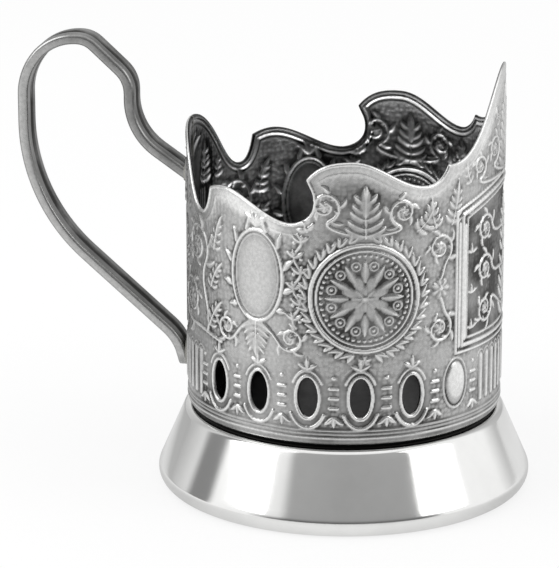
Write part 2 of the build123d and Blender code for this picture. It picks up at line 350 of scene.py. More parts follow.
class HolderSizes(PropertyGroup):
    """Sizes that a maker would change."""

    sheet_cell: FloatProperty(
        name="Sheet Cell",
        description="Grid step of the embossed sheet",
        default=0.24 * MM,
        unit="LENGTH",
        subtype="DISTANCE",
    )
    relief: FloatProperty(
        name="Relief",
        description="Height of the strongest ornament above the wall",
        default=0.45 * MM,
        unit="LENGTH",
        subtype="DISTANCE",
    )
    hole_width: FloatProperty(
        name="Hole Width",
        description="Width of each oval hole",
        default=4.3 * MM,
        unit="LENGTH",
        subtype="DISTANCE",
    )
    hole_height: FloatProperty(
        name="Hole Height",
        description="Height of each oval hole",
        default=8.7 * MM,
        unit="LENGTH",
        subtype="DISTANCE",
    )
    foot_radius: FloatProperty(
        name="Foot Radius",
        description="Outside radius of the foot's hem",
        default=FOOT_HIGH[0],
        unit="LENGTH",
        subtype="DISTANCE",
    )
    strip_width: FloatProperty(
        name="Strip Width",
        description="Width of the handle strip",
        default=STRIP_HIGH[1] - STRIP_LOW[1],
        unit="LENGTH",
        subtype="DISTANCE",
    )
    strip_thickness: FloatProperty(
        name="Strip Thickness",
        description="Thickness of the handle strip",
        default=2.4 * MM,
        unit="LENGTH",
        subtype="DISTANCE",
    )


class HolderFinish(PropertyGroup):
    """Colours of the finishes."""

    satin_colour: FloatVectorProperty(
        name="Satin Metal",
        description="Colour of the raised and flat satin metal",
        default=(0.53, 0.53, 0.525),
        subtype="COLOR",
        size=3,
    )
    # Also the dark of the painted shade on the handle strip.
    hollow_colour: FloatVectorProperty(
        name="Hollows",
        description="Colour of the darkened metal in the recesses",
        default=(0.07, 0.069, 0.067),
        subtype="COLOR",
        size=3,
    )
    inside_colour: FloatVectorProperty(
        name="Inside",
        description="Colour of the oxidised inside",
        default=(0.56, 0.56, 0.56),
        subtype="COLOR",
        size=3,
    )
    polish_colour: FloatVectorProperty(
        name="Polished Foot",
        description="Colour of the polished foot",
        default=(0.90, 0.90, 0.89),
        subtype="COLOR",
        size=3,
    )
    strip_colour: FloatVectorProperty(
        name="Handle Strip",
        description="Colour of the handle's metal",
        default=(0.43, 0.43, 0.425),
        subtype="COLOR",
        size=3,
    )
    braze_colour: FloatVectorProperty(
        name="Braze",
        description="Colour of the brazing alloy",
        default=(0.38, 0.375, 0.35),
        subtype="COLOR",
        size=3,
    )


class HolderStage(PropertyGroup):
    """The floor, the light and the camera."""

    floor_colour: FloatVectorProperty(
        name="Floor",
        description="Colour of the plain floor",
        default=(0.95, 0.95, 0.95),
        subtype="COLOR",
        size=3,
    )
    key_power: FloatProperty(
        name="Key Lamp",
        description="Power of the large lamp on the left",
        default=2.0,
        unit="POWER",
        subtype="POWER",
    )
    fill_power: FloatProperty(
        name="Fill Lamp",
        description="Power of the lamp on the right",
        default=1.2,
        unit="POWER",
        subtype="POWER",
    )
    camera_azimuth: FloatProperty(
        name="Azimuth",
        description="Camera's turn round the axis from straight in front",
        default=math.radians(10.5),
        unit="ROTATION",
        subtype="ANGLE",
    )
    camera_elevation: FloatProperty(
        name="Elevation",
        description="Camera's height above the horizon",
        default=math.radians(16.415),
        unit="ROTATION",
        subtype="ANGLE",
    )
    camera_distance: FloatProperty(
        name="Distance",
        description="Camera's distance from the point that it looks at",
        default=0.733,
        unit="LENGTH",
        subtype="DISTANCE",
    )


def sizes():
    """The scene's sizes, as millimetres by name."""
    group = bpy.context.scene.holder_sizes
    return {name: getattr(group, name) / MM for name in HolderSizes.__annotations__}


# Curves on the flat sheet


def at(degrees, height):
    """A point of the flat sheet from its angle round the wall and its height."""
    return np.array([math.radians(degrees) * WALL, height])


def hole_centre(number):
    """The middle of a hole by its number from the handle. The boss comes after the last hole."""
    return at(HOLE_FIRST + number * HOLE_PITCH, HOLE_LEVEL)


def dome(share):
    """Round profile: the root of one less the squared share of the half width, and zero past it."""
    return np.sqrt(np.clip(1 - share**2, 0, None))


def cubic(corners, steps):
    """Cubic curve: each point is the four corners weighed by the Bernstein terms of its share."""
    share = np.linspace(0.0, 1.0, steps)[:, None]
    rest = 1.0 - share
    start, first, second, end = (np.asarray(corner, float) for corner in corners)
    return rest**3 * start + 3 * rest**2 * share * first + 3 * rest * share**2 * second + share**3 * end


def blade(root, tip, bend, steps=14):
    """Leaf's spine: a quadratic curve from root to tip, pushed sideways by bend times its length."""
    root = np.asarray(root, float)
    tip = np.asarray(tip, float)
    along = tip - root
    middle = (root + tip) / 2 + bend * np.array([-along[1], along[0]])
    share = np.linspace(0.0, 1.0, steps)[:, None]
    return (1 - share) ** 2 * root + 2 * share * (1 - share) * middle + share**2 * tip


def reach(root, degrees, length):
    """The point at a length from the root in a direction, counted from straight up towards the right."""
    turn = math.radians(degrees)
    return np.asarray(root, float) + length * np.array([math.sin(turn), math.cos(turn)])


def oval(centre, across, up, start=0.0, sweep=360.0, steps=72):
    """Arc of an ellipse: the centre plus its half sizes times the cosine and sine of a turning angle."""
    turn = np.radians(start + sweep * np.linspace(0.0, 1.0, steps))
    return np.asarray(centre) + np.stack([across * np.cos(turn), up * np.sin(turn)], axis=1)


def volute(centre, radius, start, sweep, core=0.16, steps=64):
    """Spiral: a circle whose radius shrinks evenly from full to a share of it as the angle turns."""
    share = np.linspace(0.0, 1.0, steps)
    turn = np.radians(start + sweep * share)
    distance = radius * (1 - (1 - core) * share)
    return np.asarray(centre) + np.stack([distance * np.cos(turn), distance * np.sin(turn)], axis=1)


def rim_lines():
    """The ten curves of the rim's half outline, on the flat sheet."""
    ends = (RIM_START,) + tuple(curve[-1] for curve in RIM_CURVES)
    corners = [[at(*corner) for corner in (start, *curve)] for start, curve in zip(ends, RIM_CURVES)]
    return [cubic(corner, RIM_STEPS) for corner in corners]


def panel_line(inset):
    """Half of the peak's panel: a segmental arch, a post and a sill, drawn square on and wrapped on the
    wall."""
    steps = PANEL_STEPS
    half = PANEL_HALF - inset
    sill = PANEL_BOTTOM + inset
    drop = (PANEL_HALF**2 - PANEL_RISE**2) / (2 * PANEL_RISE)
    arch = PANEL_RISE + drop - inset
    turn = math.asin(half / arch)
    angle = np.linspace(0.0, turn, steps)
    top = np.stack([arch * np.sin(angle), PANEL_SPRING - drop + arch * np.cos(angle)], axis=1)
    post = np.stack([np.full(steps, half), np.linspace(top[-1, 1], sill, steps)], axis=1)[1:]
    foot = np.stack([np.linspace(half, 0.0, steps), np.full(steps, sill)], axis=1)[1:]
    line = np.concatenate([top, post, foot])
    return np.stack([HALF_TURN - WALL * np.arcsin(line[:, 0] / WALL), line[:, 1]], axis=1)


def nearest_on_line(s, z, line):
    """For each point, its distance to a line of straight steps, the share of the line's steps where it is
    nearest, and that nearest point. A step's share is the point's projection on it, kept within 0 and 1."""
    start = line[:-1]
    step = np.diff(line, axis=0)
    length = np.maximum((step**2).sum(axis=1), 1e-12)
    from_s = s[..., None] - start[:, 0]
    from_z = z[..., None] - start[:, 1]
    share = np.clip((from_s * step[:, 0] + from_z * step[:, 1]) / length, 0.0, 1.0)
    gap = (from_s - share * step[:, 0]) ** 2 + (from_z - share * step[:, 1]) ** 2
    best = gap.argmin(axis=-1)[..., None]
    share = np.take_along_axis(share, best, axis=-1)[..., 0]
    gap = np.take_along_axis(gap, best, axis=-1)[..., 0]
    best = best[..., 0]
    near = start[best] + share[..., None] * step[best]
    return np.sqrt(gap), (best + share) / len(step), near[..., 0], near[..., 1]


def soften(field, reach_cells):
    """Blur by three running means along both ways of the grid, each the difference of two running sums."""
    width = 2 * reach_cells + 1
    for _ in range(3):
        for axis in (0, 1):
            pad = [(0, 0), (0, 0)]
            pad[axis] = (reach_cells + 1, reach_cells)
            total = np.cumsum(np.pad(field, pad, mode="edge"), axis=axis)
            size = field.shape[axis]
            high = np.take(total, range(width, width + size), axis=axis)
            low = np.take(total, range(size), axis=axis)
            field = (high - low) / width
    return field


class FlatSheet:
    """Half of the sleeve's sheet laid flat, as a grid of columns along s and rows along z: its relief, its
    darkened ground and the places rubbed bright, which stand for wear and painted highlights."""

    def __init__(self, cell, hole_width, hole_height):
        corner_run = CORNER * math.pi / 2
        flange_run = WALL - CORNER - FLANGE_BORE
        flange = np.linspace(corner_run + flange_run, corner_run, 6)[:-1]
        corner = np.linspace(corner_run, 0.0, 8)[:-1]
        top = max(curve[-1][1] for curve in RIM_CURVES) + 2 * cell
        wall = np.linspace(WALL_START, top, round((top - WALL_START) / cell))
        self.cell = cell
        self.columns = np.linspace(SEAM_EDGE, HALF_TURN, round(HALF_TURN / cell))
        self.rows = np.concatenate([WALL_START - flange, WALL_START - corner, wall])
        self.s, self.z = np.meshgrid(self.columns, self.rows, indexing="ij")
        self.relief = np.zeros_like(self.s)
        self.ground = np.zeros_like(self.s)
        self.rubbed_and_highlit = np.zeros_like(self.s)
        self.holes = [oval(hole_centre(hole), hole_width / 2, hole_height / 2) for hole in range(HOLE_COUNT)]
        self.cut()

    def window(self, line, margin):
        """The part of the grid within a margin of a line's box."""
        low = line.min(axis=0) - margin
        high = line.max(axis=0) + margin
        columns = slice(*np.searchsorted(self.columns, (low[0], high[0])))
        rows = slice(*np.searchsorted(self.rows, (low[1], high[1])))
        return columns, rows

    def cut(self):
        """Where the metal is, and its edge. A point is under the rim if an odd number of rim steps pass
        above it, and off a hole if its ellipse sum is over one. Of each grid step that crosses the edge, the
        nearer end moves onto the edge."""
        rim = rim_lines()
        outline = np.concatenate([rim[0][:1]] + [line[1:] for line in rim])
        start, end = outline[:-1], outline[1:]
        column = self.columns[:, None]
        crosses = (start[:, 0] <= column) != (end[:, 0] <= column)
        run = np.where(start[:, 0] == end[:, 0], 1.0, end[:, 0] - start[:, 0])
        height = start[:, 1] + (column - start[:, 0]) / run * (end[:, 1] - start[:, 1])
        height = np.where(crosses, height, -1.0)
        metal = (height[:, None, :] > self.rows[None, :, None]).sum(axis=-1) % 2 == 1
        metal[-1] = self.rows < outline[-1, 1]
        metal[0] = self.rows < outline[0, 1]
        distance = np.full(self.s.shape, FAR_OFF)
        edge_s = self.s.copy()
        edge_z = self.z.copy()
        for line in rim + self.holes:
            part = self.window(line, EDGE_MARGIN)
            gap, _, near_s, near_z = nearest_on_line(self.s[part], self.z[part], line)
            nearer = gap < distance[part]
            distance[part] = np.where(nearer, gap, distance[part])
            edge_s[part] = np.where(nearer, near_s, edge_s[part])
            edge_z[part] = np.where(nearer, near_z, edge_z[part])
        for line in self.holes:
            centre = (line.min(axis=0) + line.max(axis=0)) / 2
            half = (line.max(axis=0) - line.min(axis=0)) / 2
            metal &= ((self.s - centre[0]) / half[0]) ** 2 + ((self.z - centre[1]) / half[1]) ** 2 > 1
        moved = np.zeros_like(metal)
        for axis in (0, 1):
            low = [slice(None), slice(None)]
            high = [slice(None), slice(None)]
            low[axis] = slice(None, -1)
            high[axis] = slice(1, None)
            low, high = tuple(low), tuple(high)
            crossing = metal[low] != metal[high]
            low_nearer = distance[low] <= distance[high]
            moved[low] |= crossing & low_nearer
            moved[high] |= crossing & ~low_nearer
        self.side = np.where(metal, distance, -distance)
        self.state = np.where(moved, 0, np.where(metal, 1, -1))
        self.s = np.where(moved, edge_s, self.s)
        self.z = np.where(moved, edge_z, self.z)
        self.s[0] = self.columns[0]
        self.s[-1] = self.columns[-1]
        self.edge = np.where(moved, 0.0, distance)

    def raise_to(self, part, height):
        """Lift the relief to a height where it is lower."""
        self.relief[part] = np.maximum(self.relief[part], height)

    def rub_and_highlight(self, part, amount):
        """Mark a part as rubbed bright, as wear and painted highlight, where it is marked less."""
        self.rubbed_and_highlit[part] = np.maximum(self.rubbed_and_highlit[part], amount)

    def shade(self, centre, across, up, tone):
        """Darken the ground in a soft oval: a tone times a bell of the fourth power of its share."""
        share = np.hypot((self.s - centre[0]) / across, (self.z - centre[1]) / up)
        self.ground = np.maximum(self.ground, tone * np.exp(-(share**4)))

    def ridge(self, line, half_width, height, tip=1.0, rub_and_highlight=0.0):
        """Rounded ridge: height times a dome over the half width, which narrows from full at the line's
        start to the tip's share of it at its end. It is rubbed bright, as wear and painted highlight, by rub
        times the dome."""
        part = self.window(line, half_width)
        gap, share, _, _ = nearest_on_line(self.s[part], self.z[part], line)
        rounded = dome(gap / (half_width * (1 + (tip - 1) * share)))
        self.raise_to(part, height * rounded)
        self.rub_and_highlight(part, rub_and_highlight * rounded)

    def leaf(self, line, half_width, height):
        """Leaf along a spine: its half width swells and shrinks as a sine of the share. Across, it is part
        dome and part roof, so that leaves which meet leave a valley between them."""
        part = self.window(line, half_width)
        gap, share, _, _ = nearest_on_line(self.s[part], self.z[part], line)
        swell = np.sin(math.pi * np.clip(share, 0.0, 1.0) ** 0.72) ** 0.85
        across = np.clip(gap / (half_width * swell + 1e-6), 0.0, 1.0)
        self.raise_to(part, height * (0.4 * dome(across) + 0.6 * (1 - across)))

    def bead(self, centre, radius, height):
        """Round bead: height times a dome over its radius."""
        centre = np.asarray(centre, float)
        part = self.window(centre[None], radius)
        distance = np.hypot(self.s[part] - centre[0], self.z[part] - centre[1])
        self.raise_to(part, height * dome(distance / radius))

    def rosette(self, centre, radius, petals, height, turn=0.0):
        """Flower: its rim swings with the cosine of petals times the angle, each petal is domed and the
        folds between petals stay low."""
        centre = np.asarray(centre, float)
        part = self.window(centre[None], radius)
        east = self.s[part] - centre[0]
        north = self.z[part] - centre[1]
        angle = np.arctan2(north, east) - math.radians(turn)
        fold = np.abs(np.cos(petals * angle / 2))
        rim = radius * (0.66 + 0.34 * fold**0.8)
        rounded = dome(np.hypot(east, north) / rim)
        self.raise_to(part, height * rounded * (0.35 + 0.65 * fold**0.6))

    def sink(self, part, mask, depth, tone):
        """Lower the bare ground where a mask is set, and mark it as darkened ground."""
        bare = mask & (self.relief[part] <= 0)
        self.relief[part] = np.where(bare, -depth, self.relief[part])
        self.ground[part] = np.where(mask, np.maximum(self.ground[part], tone), self.ground[part])


def spray(sheet, relief, root, kind):
    """Fan of leaves from one root, each in its own direction, bent outwards from the middle one."""
    directions, lengths, half_width, height, bend = kind
    middle = (directions[0] + directions[-1]) / 2
    for degrees, length in zip(directions, lengths):
        side = np.sign(degrees - middle)
        line = blade(root, reach(root, degrees, length), side * bend)
        sheet.leaf(line, half_width, height * relief)


def heading_at(line, share):
    """The point of a line at a share of its steps, and its direction there, counted from straight up."""
    here = min(int(share * (len(line) - 1)), len(line) - 2)
    along = line[here + 1] - line[here]
    return line[here], math.degrees(math.atan2(along[0], along[1]))


def frond(sheet, line, leaf_length, half_width, height, pairs, spread=46.0):
    """Stem with pairs of leaves, which lean forward from the stem and shorten towards its tip."""
    sheet.ridge(line, 0.34, 0.8 * height, tip=0.6)
    for pair in range(pairs):
        share = (pair + 0.3) / pairs
        root, heading = heading_at(line, share)
        length = leaf_length * (1 - 0.5 * share)
        for side in (-1, 1):
            tip = reach(root, heading + side * spread, length)
            sheet.leaf(blade(root, tip, -0.16 * side), half_width * (1 - 0.35 * share), height)
    end, heading = heading_at(line, 1.0)
    sheet.leaf(blade(end, reach(end, heading, 0.6 * leaf_length), 0.0), 0.8 * half_width, height)


def acanthus(sheet, relief, origin, leaves):
    """Acanthus leaves, placed from an origin: pairs of lobes leave a bent spine, curl forward and shorten
    towards a pointed end."""
    for root, tip, bend, width, share_of_relief, lobes in leaves:
        height = share_of_relief * relief
        spine = blade(origin + root, origin + tip, bend, 24)
        for lobe in range(lobes):
            share = 0.05 + 0.62 * lobe / (lobes - 1)
            start, heading = heading_at(spine, share)
            length = width * (1.0 - 0.5 * share)
            for side in (-1, 1):
                end = reach(start, heading + side * (66 - 30 * share), length)
                sheet.leaf(blade(start, end, -0.2 * side), 0.27 * length + 0.12, 0.82 * height)
        sheet.leaf(spine[9:], 0.36 * width, height)
        sheet.ridge(spine, 0.28, height, tip=0.4)


def tendrils(sheet, relief, origin, rows):
    """Tendrils, placed from an origin: a stem leaves its root in a direction and winds into a spiral, with
    long leaves outside its first turn, short ones inside it and a flower at its heart."""
    for root, heading, heart, radius, start, sweep, share_of_relief, leaves in rows:
        height = share_of_relief * relief
        foot = origin + root
        centre = origin + heart
        spiral = volute(centre, radius, start, sweep, 0.24)
        ahead = (spiral[1] - spiral[0]) / np.linalg.norm(spiral[1] - spiral[0])
        pull = 0.4 * np.linalg.norm(spiral[0] - foot)
        lead = cubic((foot, reach(foot, heading, pull), spiral[0] - pull * ahead, spiral[0]), 16)
        sheet.ridge(np.concatenate([lead[:-1], spiral]), 0.42, height, tip=0.6)
        side = math.copysign(1.0, sweep)
        turn = 360.0 / abs(sweep)
        for leaf in range(leaves):
            point, course = heading_at(spiral, turn * leaf / leaves)
            length = (0.62 - 0.05 * leaf) * radius + 0.9
            end = reach(point, course + side * 40.0, length)
            sheet.leaf(blade(point, end, -0.24 * side), 0.2 * length + 0.15, 0.9 * height)
            point, course = heading_at(spiral, turn * (leaf + 0.6) / leaves)
            end = reach(point, course - side * 50.0, 0.26 * radius + 0.3)
            sheet.leaf(blade(point, end, 0.2 * side), 0.07 * radius + 0.16, 0.7 * height)
        sheet.rosette(centre, 0.36 * radius + 0.3, 6, height, 18.0)
        sheet.bead(centre, 0.1 * radius + 0.2, 1.15 * height)


def vine(sheet, relief, kind):
    """Wavy stem: a straight run pushed sideways by a sine, with three leaves and a berry at every crest."""
    start, end, waves, swing, leaf_length, share_of_relief = kind
    height = share_of_relief * relief
    start = np.asarray(start, float)
    axis = np.asarray(end, float) - start
    across = np.array([-axis[1], axis[0]]) / np.linalg.norm(axis)
    share = np.linspace(0.0, 1.0, 16 * waves + 1)[:, None]
    line = start + share * axis + swing * np.sin(2 * math.pi * waves * share) * across
    sheet.ridge(line, 0.32, 0.8 * height)
    crests = 2 * waves
    for crest in range(crests):
        point, course = heading_at(line, (crest + 0.5) / crests)
        side = 1 if crest % 2 else -1
        for turn, length in ((-48.0, 1.0), (62.0, 0.8), (18.0, 0.7)):
            tip = reach(point, course + side * turn, length * leaf_length)
            sheet.leaf(blade(point, tip, 0.12 * side), 0.24 * leaf_length, height)
        sheet.bead(reach(point, course - side * 90.0, 0.62 * leaf_length), 0.42, 0.9 * height)


def emboss_rim(sheet, relief):
    """Border along the rim: a bead at the edge, which fades on the tall peak, and a fine line, as domes over
    the distance to the nearest of the rim's curves. The bead is rubbed bright, and so is the plain band
    behind it, as far as the table of wear and painted highlight along the rim says."""
    gap = np.full(sheet.s.shape, FAR_OFF)
    for line in rim_lines():
        part = sheet.window(line, BAND_END + sheet.cell)
        gap[part] = np.minimum(gap[part], nearest_on_line(sheet.s[part], sheet.z[part], line)[0])
    bead = dome((gap - BEAD_PLACE) / BEAD_HALF) * np.interp(sheet.s, *PEAK_FADE)
    fine = dome((gap - LINE_PLACE) / LINE_HALF)
    sheet.raise_to(WHOLE_SHEET, relief * np.maximum(BEAD_RISE * bead, LINE_RISE * fine))
    band = np.interp(sheet.s, *BAND_WEAR_AND_HIGHLIGHT) * np.clip((BAND_END - gap) / BAND_FADE, 0, 1)
    # Painted highlight: the bead and the plain band behind it are brightened, partly as wear.
    sheet.rub_and_highlight(WHOLE_SHEET, np.maximum(bead, band))


def emboss_holes(sheet, relief):
    """Holes: a thin lip, a brow and a spray round each and a beaded swag below; the lips and swags are
    rubbed bright, as wear and painted highlight. Between neighbours stand rungs with a bead above and a
    spray below. The boss after the last hole is a ringed dome with a painted highlight."""
    for hole in range(HOLE_COUNT):
        centre = hole_centre(hole)
        sheet.ridge(oval(centre, 2.6, 4.8), half_width=0.42, height=0.55 * relief, rub_and_highlight=0.7)
        sheet.ridge(oval(centre, 3.7, 6.1, start=32.0, sweep=116.0), half_width=0.34, height=0.5 * relief)
        swag = oval(centre + (0.0, -0.3), 4.3, 6.6, start=212.0, sweep=116.0)
        sheet.ridge(swag, half_width=0.4, height=0.65 * relief, rub_and_highlight=0.4)
        sheet.bead(centre + (0.0, -6.9), radius=0.6, height=0.6 * relief)
        spray(sheet, relief, centre + (0.0, 6.3), HOLE_SPRAY)
    sheet.shade((30.0, HOLE_LEVEL), across=45.0, up=6.5, tone=0.3)
    boss = hole_centre(HOLE_COUNT) + (0.0, BOSS_LIFT)
    across, up = BOSS_HALVES
    part = sheet.window(oval(boss, across, up), 0.1)
    rounded = dome(np.hypot((sheet.s[part] - boss[0]) / across, (sheet.z[part] - boss[1]) / up))
    sheet.raise_to(part, 1.5 * relief * rounded)
    # Painted highlight on the boss's dome.
    sheet.rub_and_highlight(part, np.clip(2.4 * rounded - 0.9 + 0.12 * (sheet.z[part] - boss[1]), 0, 1))
    sheet.ridge(oval(boss, across + 0.6, up + 0.7), half_width=0.3, height=0.45 * relief)
    for gap in range(HOLE_COUNT + 2):
        middle = hole_centre(gap - 0.5)
        for rung in (-2.2, 0.0, 2.2):
            line = middle + np.array([(-0.8, rung), (0.8, rung)])
            sheet.ridge(line, half_width=0.42, height=0.65 * relief)
        sheet.bead(middle + (0.0, 4.6), radius=0.5, height=0.7 * relief)
        spray(sheet, relief, middle + (0.0, -4.2), RUNG_SPRAY)


def emboss_medallion(sheet, relief):
    """Medallion: a frame, a fine ring, a circle of beads and a flower on a darkened ground, in a leaf wreath
    under a crown of leaves between two tendrils."""
    centre = at(*MEDALLION)
    radius = MEDALLION_RADIUS
    # The frame and the fine ring are rubbed bright, as wear and painted highlight.
    for inset, half_width, height, rub_and_highlight in ((0.6, 0.5, 1.0, 0.6), (1.9, 0.28, 0.45, 0.3)):
        circle = oval(centre, radius - inset, radius - inset, steps=120)
        sheet.ridge(circle, half_width, height * relief, rub_and_highlight=rub_and_highlight)
    for bead in range(MEDALLION_BEADS):
        place = reach(centre, 360.0 * bead / MEDALLION_BEADS, radius - 2.9)
        sheet.bead(place, radius=0.38, height=0.4 * relief)
    for petal in range(MEDALLION_PETALS):
        degrees = 360.0 * petal / MEDALLION_PETALS
        spine = blade(reach(centre, degrees, 3.4), reach(centre, degrees, 8.6), 0.0)
        sheet.leaf(spine, half_width=0.95, height=0.45 * relief)
        between = reach(centre, degrees + 180.0 / MEDALLION_PETALS, 7.4)
        sheet.ridge(oval(between, 0.95, 0.95, steps=24), half_width=0.22, height=0.3 * relief)
        sheet.bead(between, radius=0.42, height=0.45 * relief)
    sheet.rosette(centre, radius=5.4, petals=8, height=0.6 * relief, turn=22.5)
    sheet.rosette(centre, radius=3.2, petals=8, height=0.85 * relief)
    sheet.bead(centre, radius=1.0, height=1.05 * relief)
    part = sheet.window(oval(centre, radius, radius), 0.0)
    field = np.hypot(sheet.s[part] - centre[0], sheet.z[part] - centre[1]) < radius - 1.1
    sheet.sink(part, field, depth=0.06, tone=0.34)
    for side in (-1, 1):
        for leaf in range(WREATH_LEAVES):
            degrees = side * (170.0 - 11.0 * leaf)
            root = reach(centre, degrees, radius + 0.3)
            for turn, length in ((66.0, 3.3), (30.0, 2.5)):
                tip = reach(root, degrees - side * turn, length)
                sheet.leaf(blade(root, tip, 0.16 * side), half_width=0.64, height=0.8 * relief)
    sheet.rosette(centre + (0.0, -radius - 1.5), radius=1.5, petals=5, height=0.7 * relief, turn=90.0)
    crown = centre + (0.0, radius + 0.9)
    acanthus(sheet, relief, crown, CROWN_LEAVES)
    tendrils(sheet, relief, crown, CROWN_TENDRILS)
    sheet.shade(crown + (0.0, 5.0), across=15.0, up=8.0, tone=0.55)


def emboss_cartouche(sheet, relief):
    """Cartouche: an oval frame with a fine line round a bare field that is brightened a little as a painted
    highlight, leaves round it, tendrils below it and a vine beside it. An upright band of painted highlight
    runs through it over the whole height of the wall."""
    centre = at(*CARTOUCHE)
    across, up = CARTOUCHE_HALVES
    frame_line = oval(centre, across - 0.5, up - 0.5, steps=100)
    sheet.ridge(frame_line, half_width=0.45, height=0.8 * relief, rub_and_highlight=0.4)
    fine_line = oval(centre, across - 1.5, up - 1.5, steps=90)
    sheet.ridge(fine_line, half_width=0.24, height=0.3 * relief)
    part = sheet.window(oval(centre, across, up), 0.0)
    share = ((sheet.s[part] - centre[0]) / across) ** 2 + ((sheet.z[part] - centre[1]) / up) ** 2
    # Painted highlight: the field a little, and a soft upright band through the cartouche from top to
    # bottom.
    sheet.rub_and_highlight(part, 0.12 * np.clip(4 * (1 - share), 0, 1))
    sheet.rub_and_highlight(WHOLE_SHEET, 0.30 * np.exp(-(((sheet.s - centre[0]) / 7.0) ** 2)))
    low = centre - (0.0, up)
    acanthus(sheet, relief, low, CARTOUCHE_LEAVES)
    tendrils(sheet, relief, low, CARTOUCHE_TENDRILS)
    for side in (-1, 1):
        for degrees, length in CARTOUCHE_FRINGE:
            turn = math.radians(side * degrees)
            root = centre + (across * math.sin(turn), up * math.cos(turn))
            tip = reach(root, side * (degrees - 38.0), length)
            sheet.leaf(blade(root, tip, 0.2 * side), half_width=0.8, height=0.85 * relief)
    spray(sheet, relief, centre + (0.0, up + 0.1), CARTOUCHE_SPRAY)
    vine(sheet, relief, CARTOUCHE_VINE)


def emboss_handle_side(sheet, relief):
    """The field beside the handle: two large tendrils from one stem with leaves in their corners, a vine, a
    reeded band, and a crest of leaves on the low peak."""
    corner = np.zeros(2)
    tendrils(sheet, relief, corner, HANDLE_TENDRILS)
    acanthus(sheet, relief, corner, HANDLE_LEAVES)
    vine(sheet, relief, HANDLE_VINE)
    for reed in HANDLE_REEDS:
        line = np.array([(reed, end) for end in HANDLE_REED_ENDS])
        sheet.ridge(line, half_width=0.34, height=0.45 * relief)
    spray(sheet, relief, LOW_PEAK_ROOT, LOW_PEAK_SPRAY)


def emboss_peak_side(sheet, relief):
    """Between medallion and panel: tendrils above and below a flower. The panel's frame lines, doubled down
    its post, are rubbed bright as wear and painted highlight. The panel holds a frond between tendrils on a
    darkened ground, and the tall peak over it an acanthus leaf between tendrils, brightened at its top."""
    corner = np.zeros(2)
    sheet.rosette(BESIDE_FLOWER, radius=2.5, petals=7, height=0.8 * relief)
    sheet.bead(BESIDE_FLOWER, radius=0.8, height=1.0 * relief)
    tendrils(sheet, relief, corner, BESIDE_TENDRILS)
    acanthus(sheet, relief, corner, BESIDE_LEAVES)
    for inset, half_width, height, rub_and_highlight in PANEL_LINES:
        sheet.ridge(panel_line(inset), half_width, height * relief, rub_and_highlight=rub_and_highlight)
    # Painted highlight: extra rubbed lines down the panel's post.
    for inset, half_width, height, rub_and_highlight in PANEL_POST_LINES:
        sheet.ridge(panel_line(inset)[PANEL_POST], half_width, height * relief, rub_and_highlight=rub_and_highlight)
    steps = 30
    stem = np.stack([np.full(steps, HALF_TURN), np.linspace(*PANEL_STEM, steps)], axis=1)
    frond(sheet, stem, leaf_length=6.4, half_width=1.0, height=0.75 * relief, pairs=9)
    tendrils(sheet, relief, corner, PANEL_TENDRILS)
    for root in PANEL_SPRIGS:
        spray(sheet, relief, root, PANEL_SPRAY)
    line = panel_line(PANEL_FIELD_INSET)
    part = sheet.window(line, 0.5)
    top = line[:PANEL_STEPS][::-1]
    under_arch = sheet.z[part] < np.interp(sheet.s[part], top[:, 0], top[:, 1])
    over_sill = sheet.z[part] > PANEL_BOTTOM + PANEL_FIELD_INSET
    field = (sheet.s[part] > line[:, 0].min()) & over_sill & under_arch
    sheet.sink(part, field, depth=0.1, tone=0.85)
    root = np.array([HALF_TURN, PANEL_SPRING + PANEL_RISE + 2.0])
    acanthus(sheet, relief, root, PEAK_LEAVES)
    tendrils(sheet, relief, root, PEAK_TENDRILS)
    sheet.rosette(root, radius=2.2, petals=7, height=0.95 * relief)
    worn = np.exp(-(((sheet.s - HALF_TURN) / 8.0) ** 2)) * np.clip((sheet.z - 77.0) / 4.0, 0, 1)
    sheet.rub_and_highlight(WHOLE_SHEET, 0.6 * worn)
    sheet.shade((HALF_TURN, 30.0), across=14.0, up=6.5, tone=0.4)


def emboss_base(sheet, relief):
    """Foot of the sleeve: border lines, and tongues under small arches where there are no holes."""
    for level, half_width, height in BASE_LINES:
        sheet.ridge(np.array([(0.0, level), (HALF_TURN, level)]), half_width, height * relief)
    for tongue in TONGUES:
        middle = tongue * TONGUE_PITCH
        line = np.array([(middle, end) for end in TONGUE_ENDS])
        sheet.ridge(line, half_width=0.95, height=0.75 * relief, tip=0.7)
        arch = oval((middle, TONGUE_ENDS[0] + 0.1), 1.3, 1.3, sweep=180.0, steps=24)
        sheet.ridge(arch, half_width=0.26, height=0.42 * relief)


def scatter(column, row, turn):
    """A share between 0 and 1 for each cell: a large sine of its numbers without its whole part."""
    value = 43758.5453 * np.sin(127.1 * column + 311.7 * row + 74.7 * turn)
    return value - np.floor(value)


def stipple_ground(sheet, relief):
    """Punched ground: one round bump in each cell of a lattice, at a scattered place, where nothing else is
    raised and away from the rim's plain band, the cartouche, the base and the handle."""
    pitch = STIPPLE_PITCH
    column, row = np.floor(sheet.s / pitch), np.floor(sheet.z / pitch)
    gap = np.full(sheet.s.shape, pitch)
    for east in (-1, 0, 1):
        for north in (-1, 0, 1):
            cell = (column + east, row + north)
            middle_s = (cell[0] + 0.2 + 0.6 * scatter(*cell, 1)) * pitch
            middle_z = (cell[1] + 0.2 + 0.6 * scatter(*cell, 2)) * pitch
            gap = np.minimum(gap, np.hypot(sheet.s - middle_s, sheet.z - middle_z))
    bumps = dome(gap / 0.5)
    centre = at(*CARTOUCHE)
    offset = ((sheet.s - centre[0]) / CARTOUCHE_HALVES[0], (sheet.z - centre[1]) / CARTOUCHE_HALVES[1])
    bare = (sheet.relief <= 0) & (sheet.edge > 2.6) & (np.hypot(*offset) > 1) & (sheet.z > 23.0)
    sheet.relief = np.where(bare, sheet.relief + 0.11 * relief * bumps, sheet.relief)


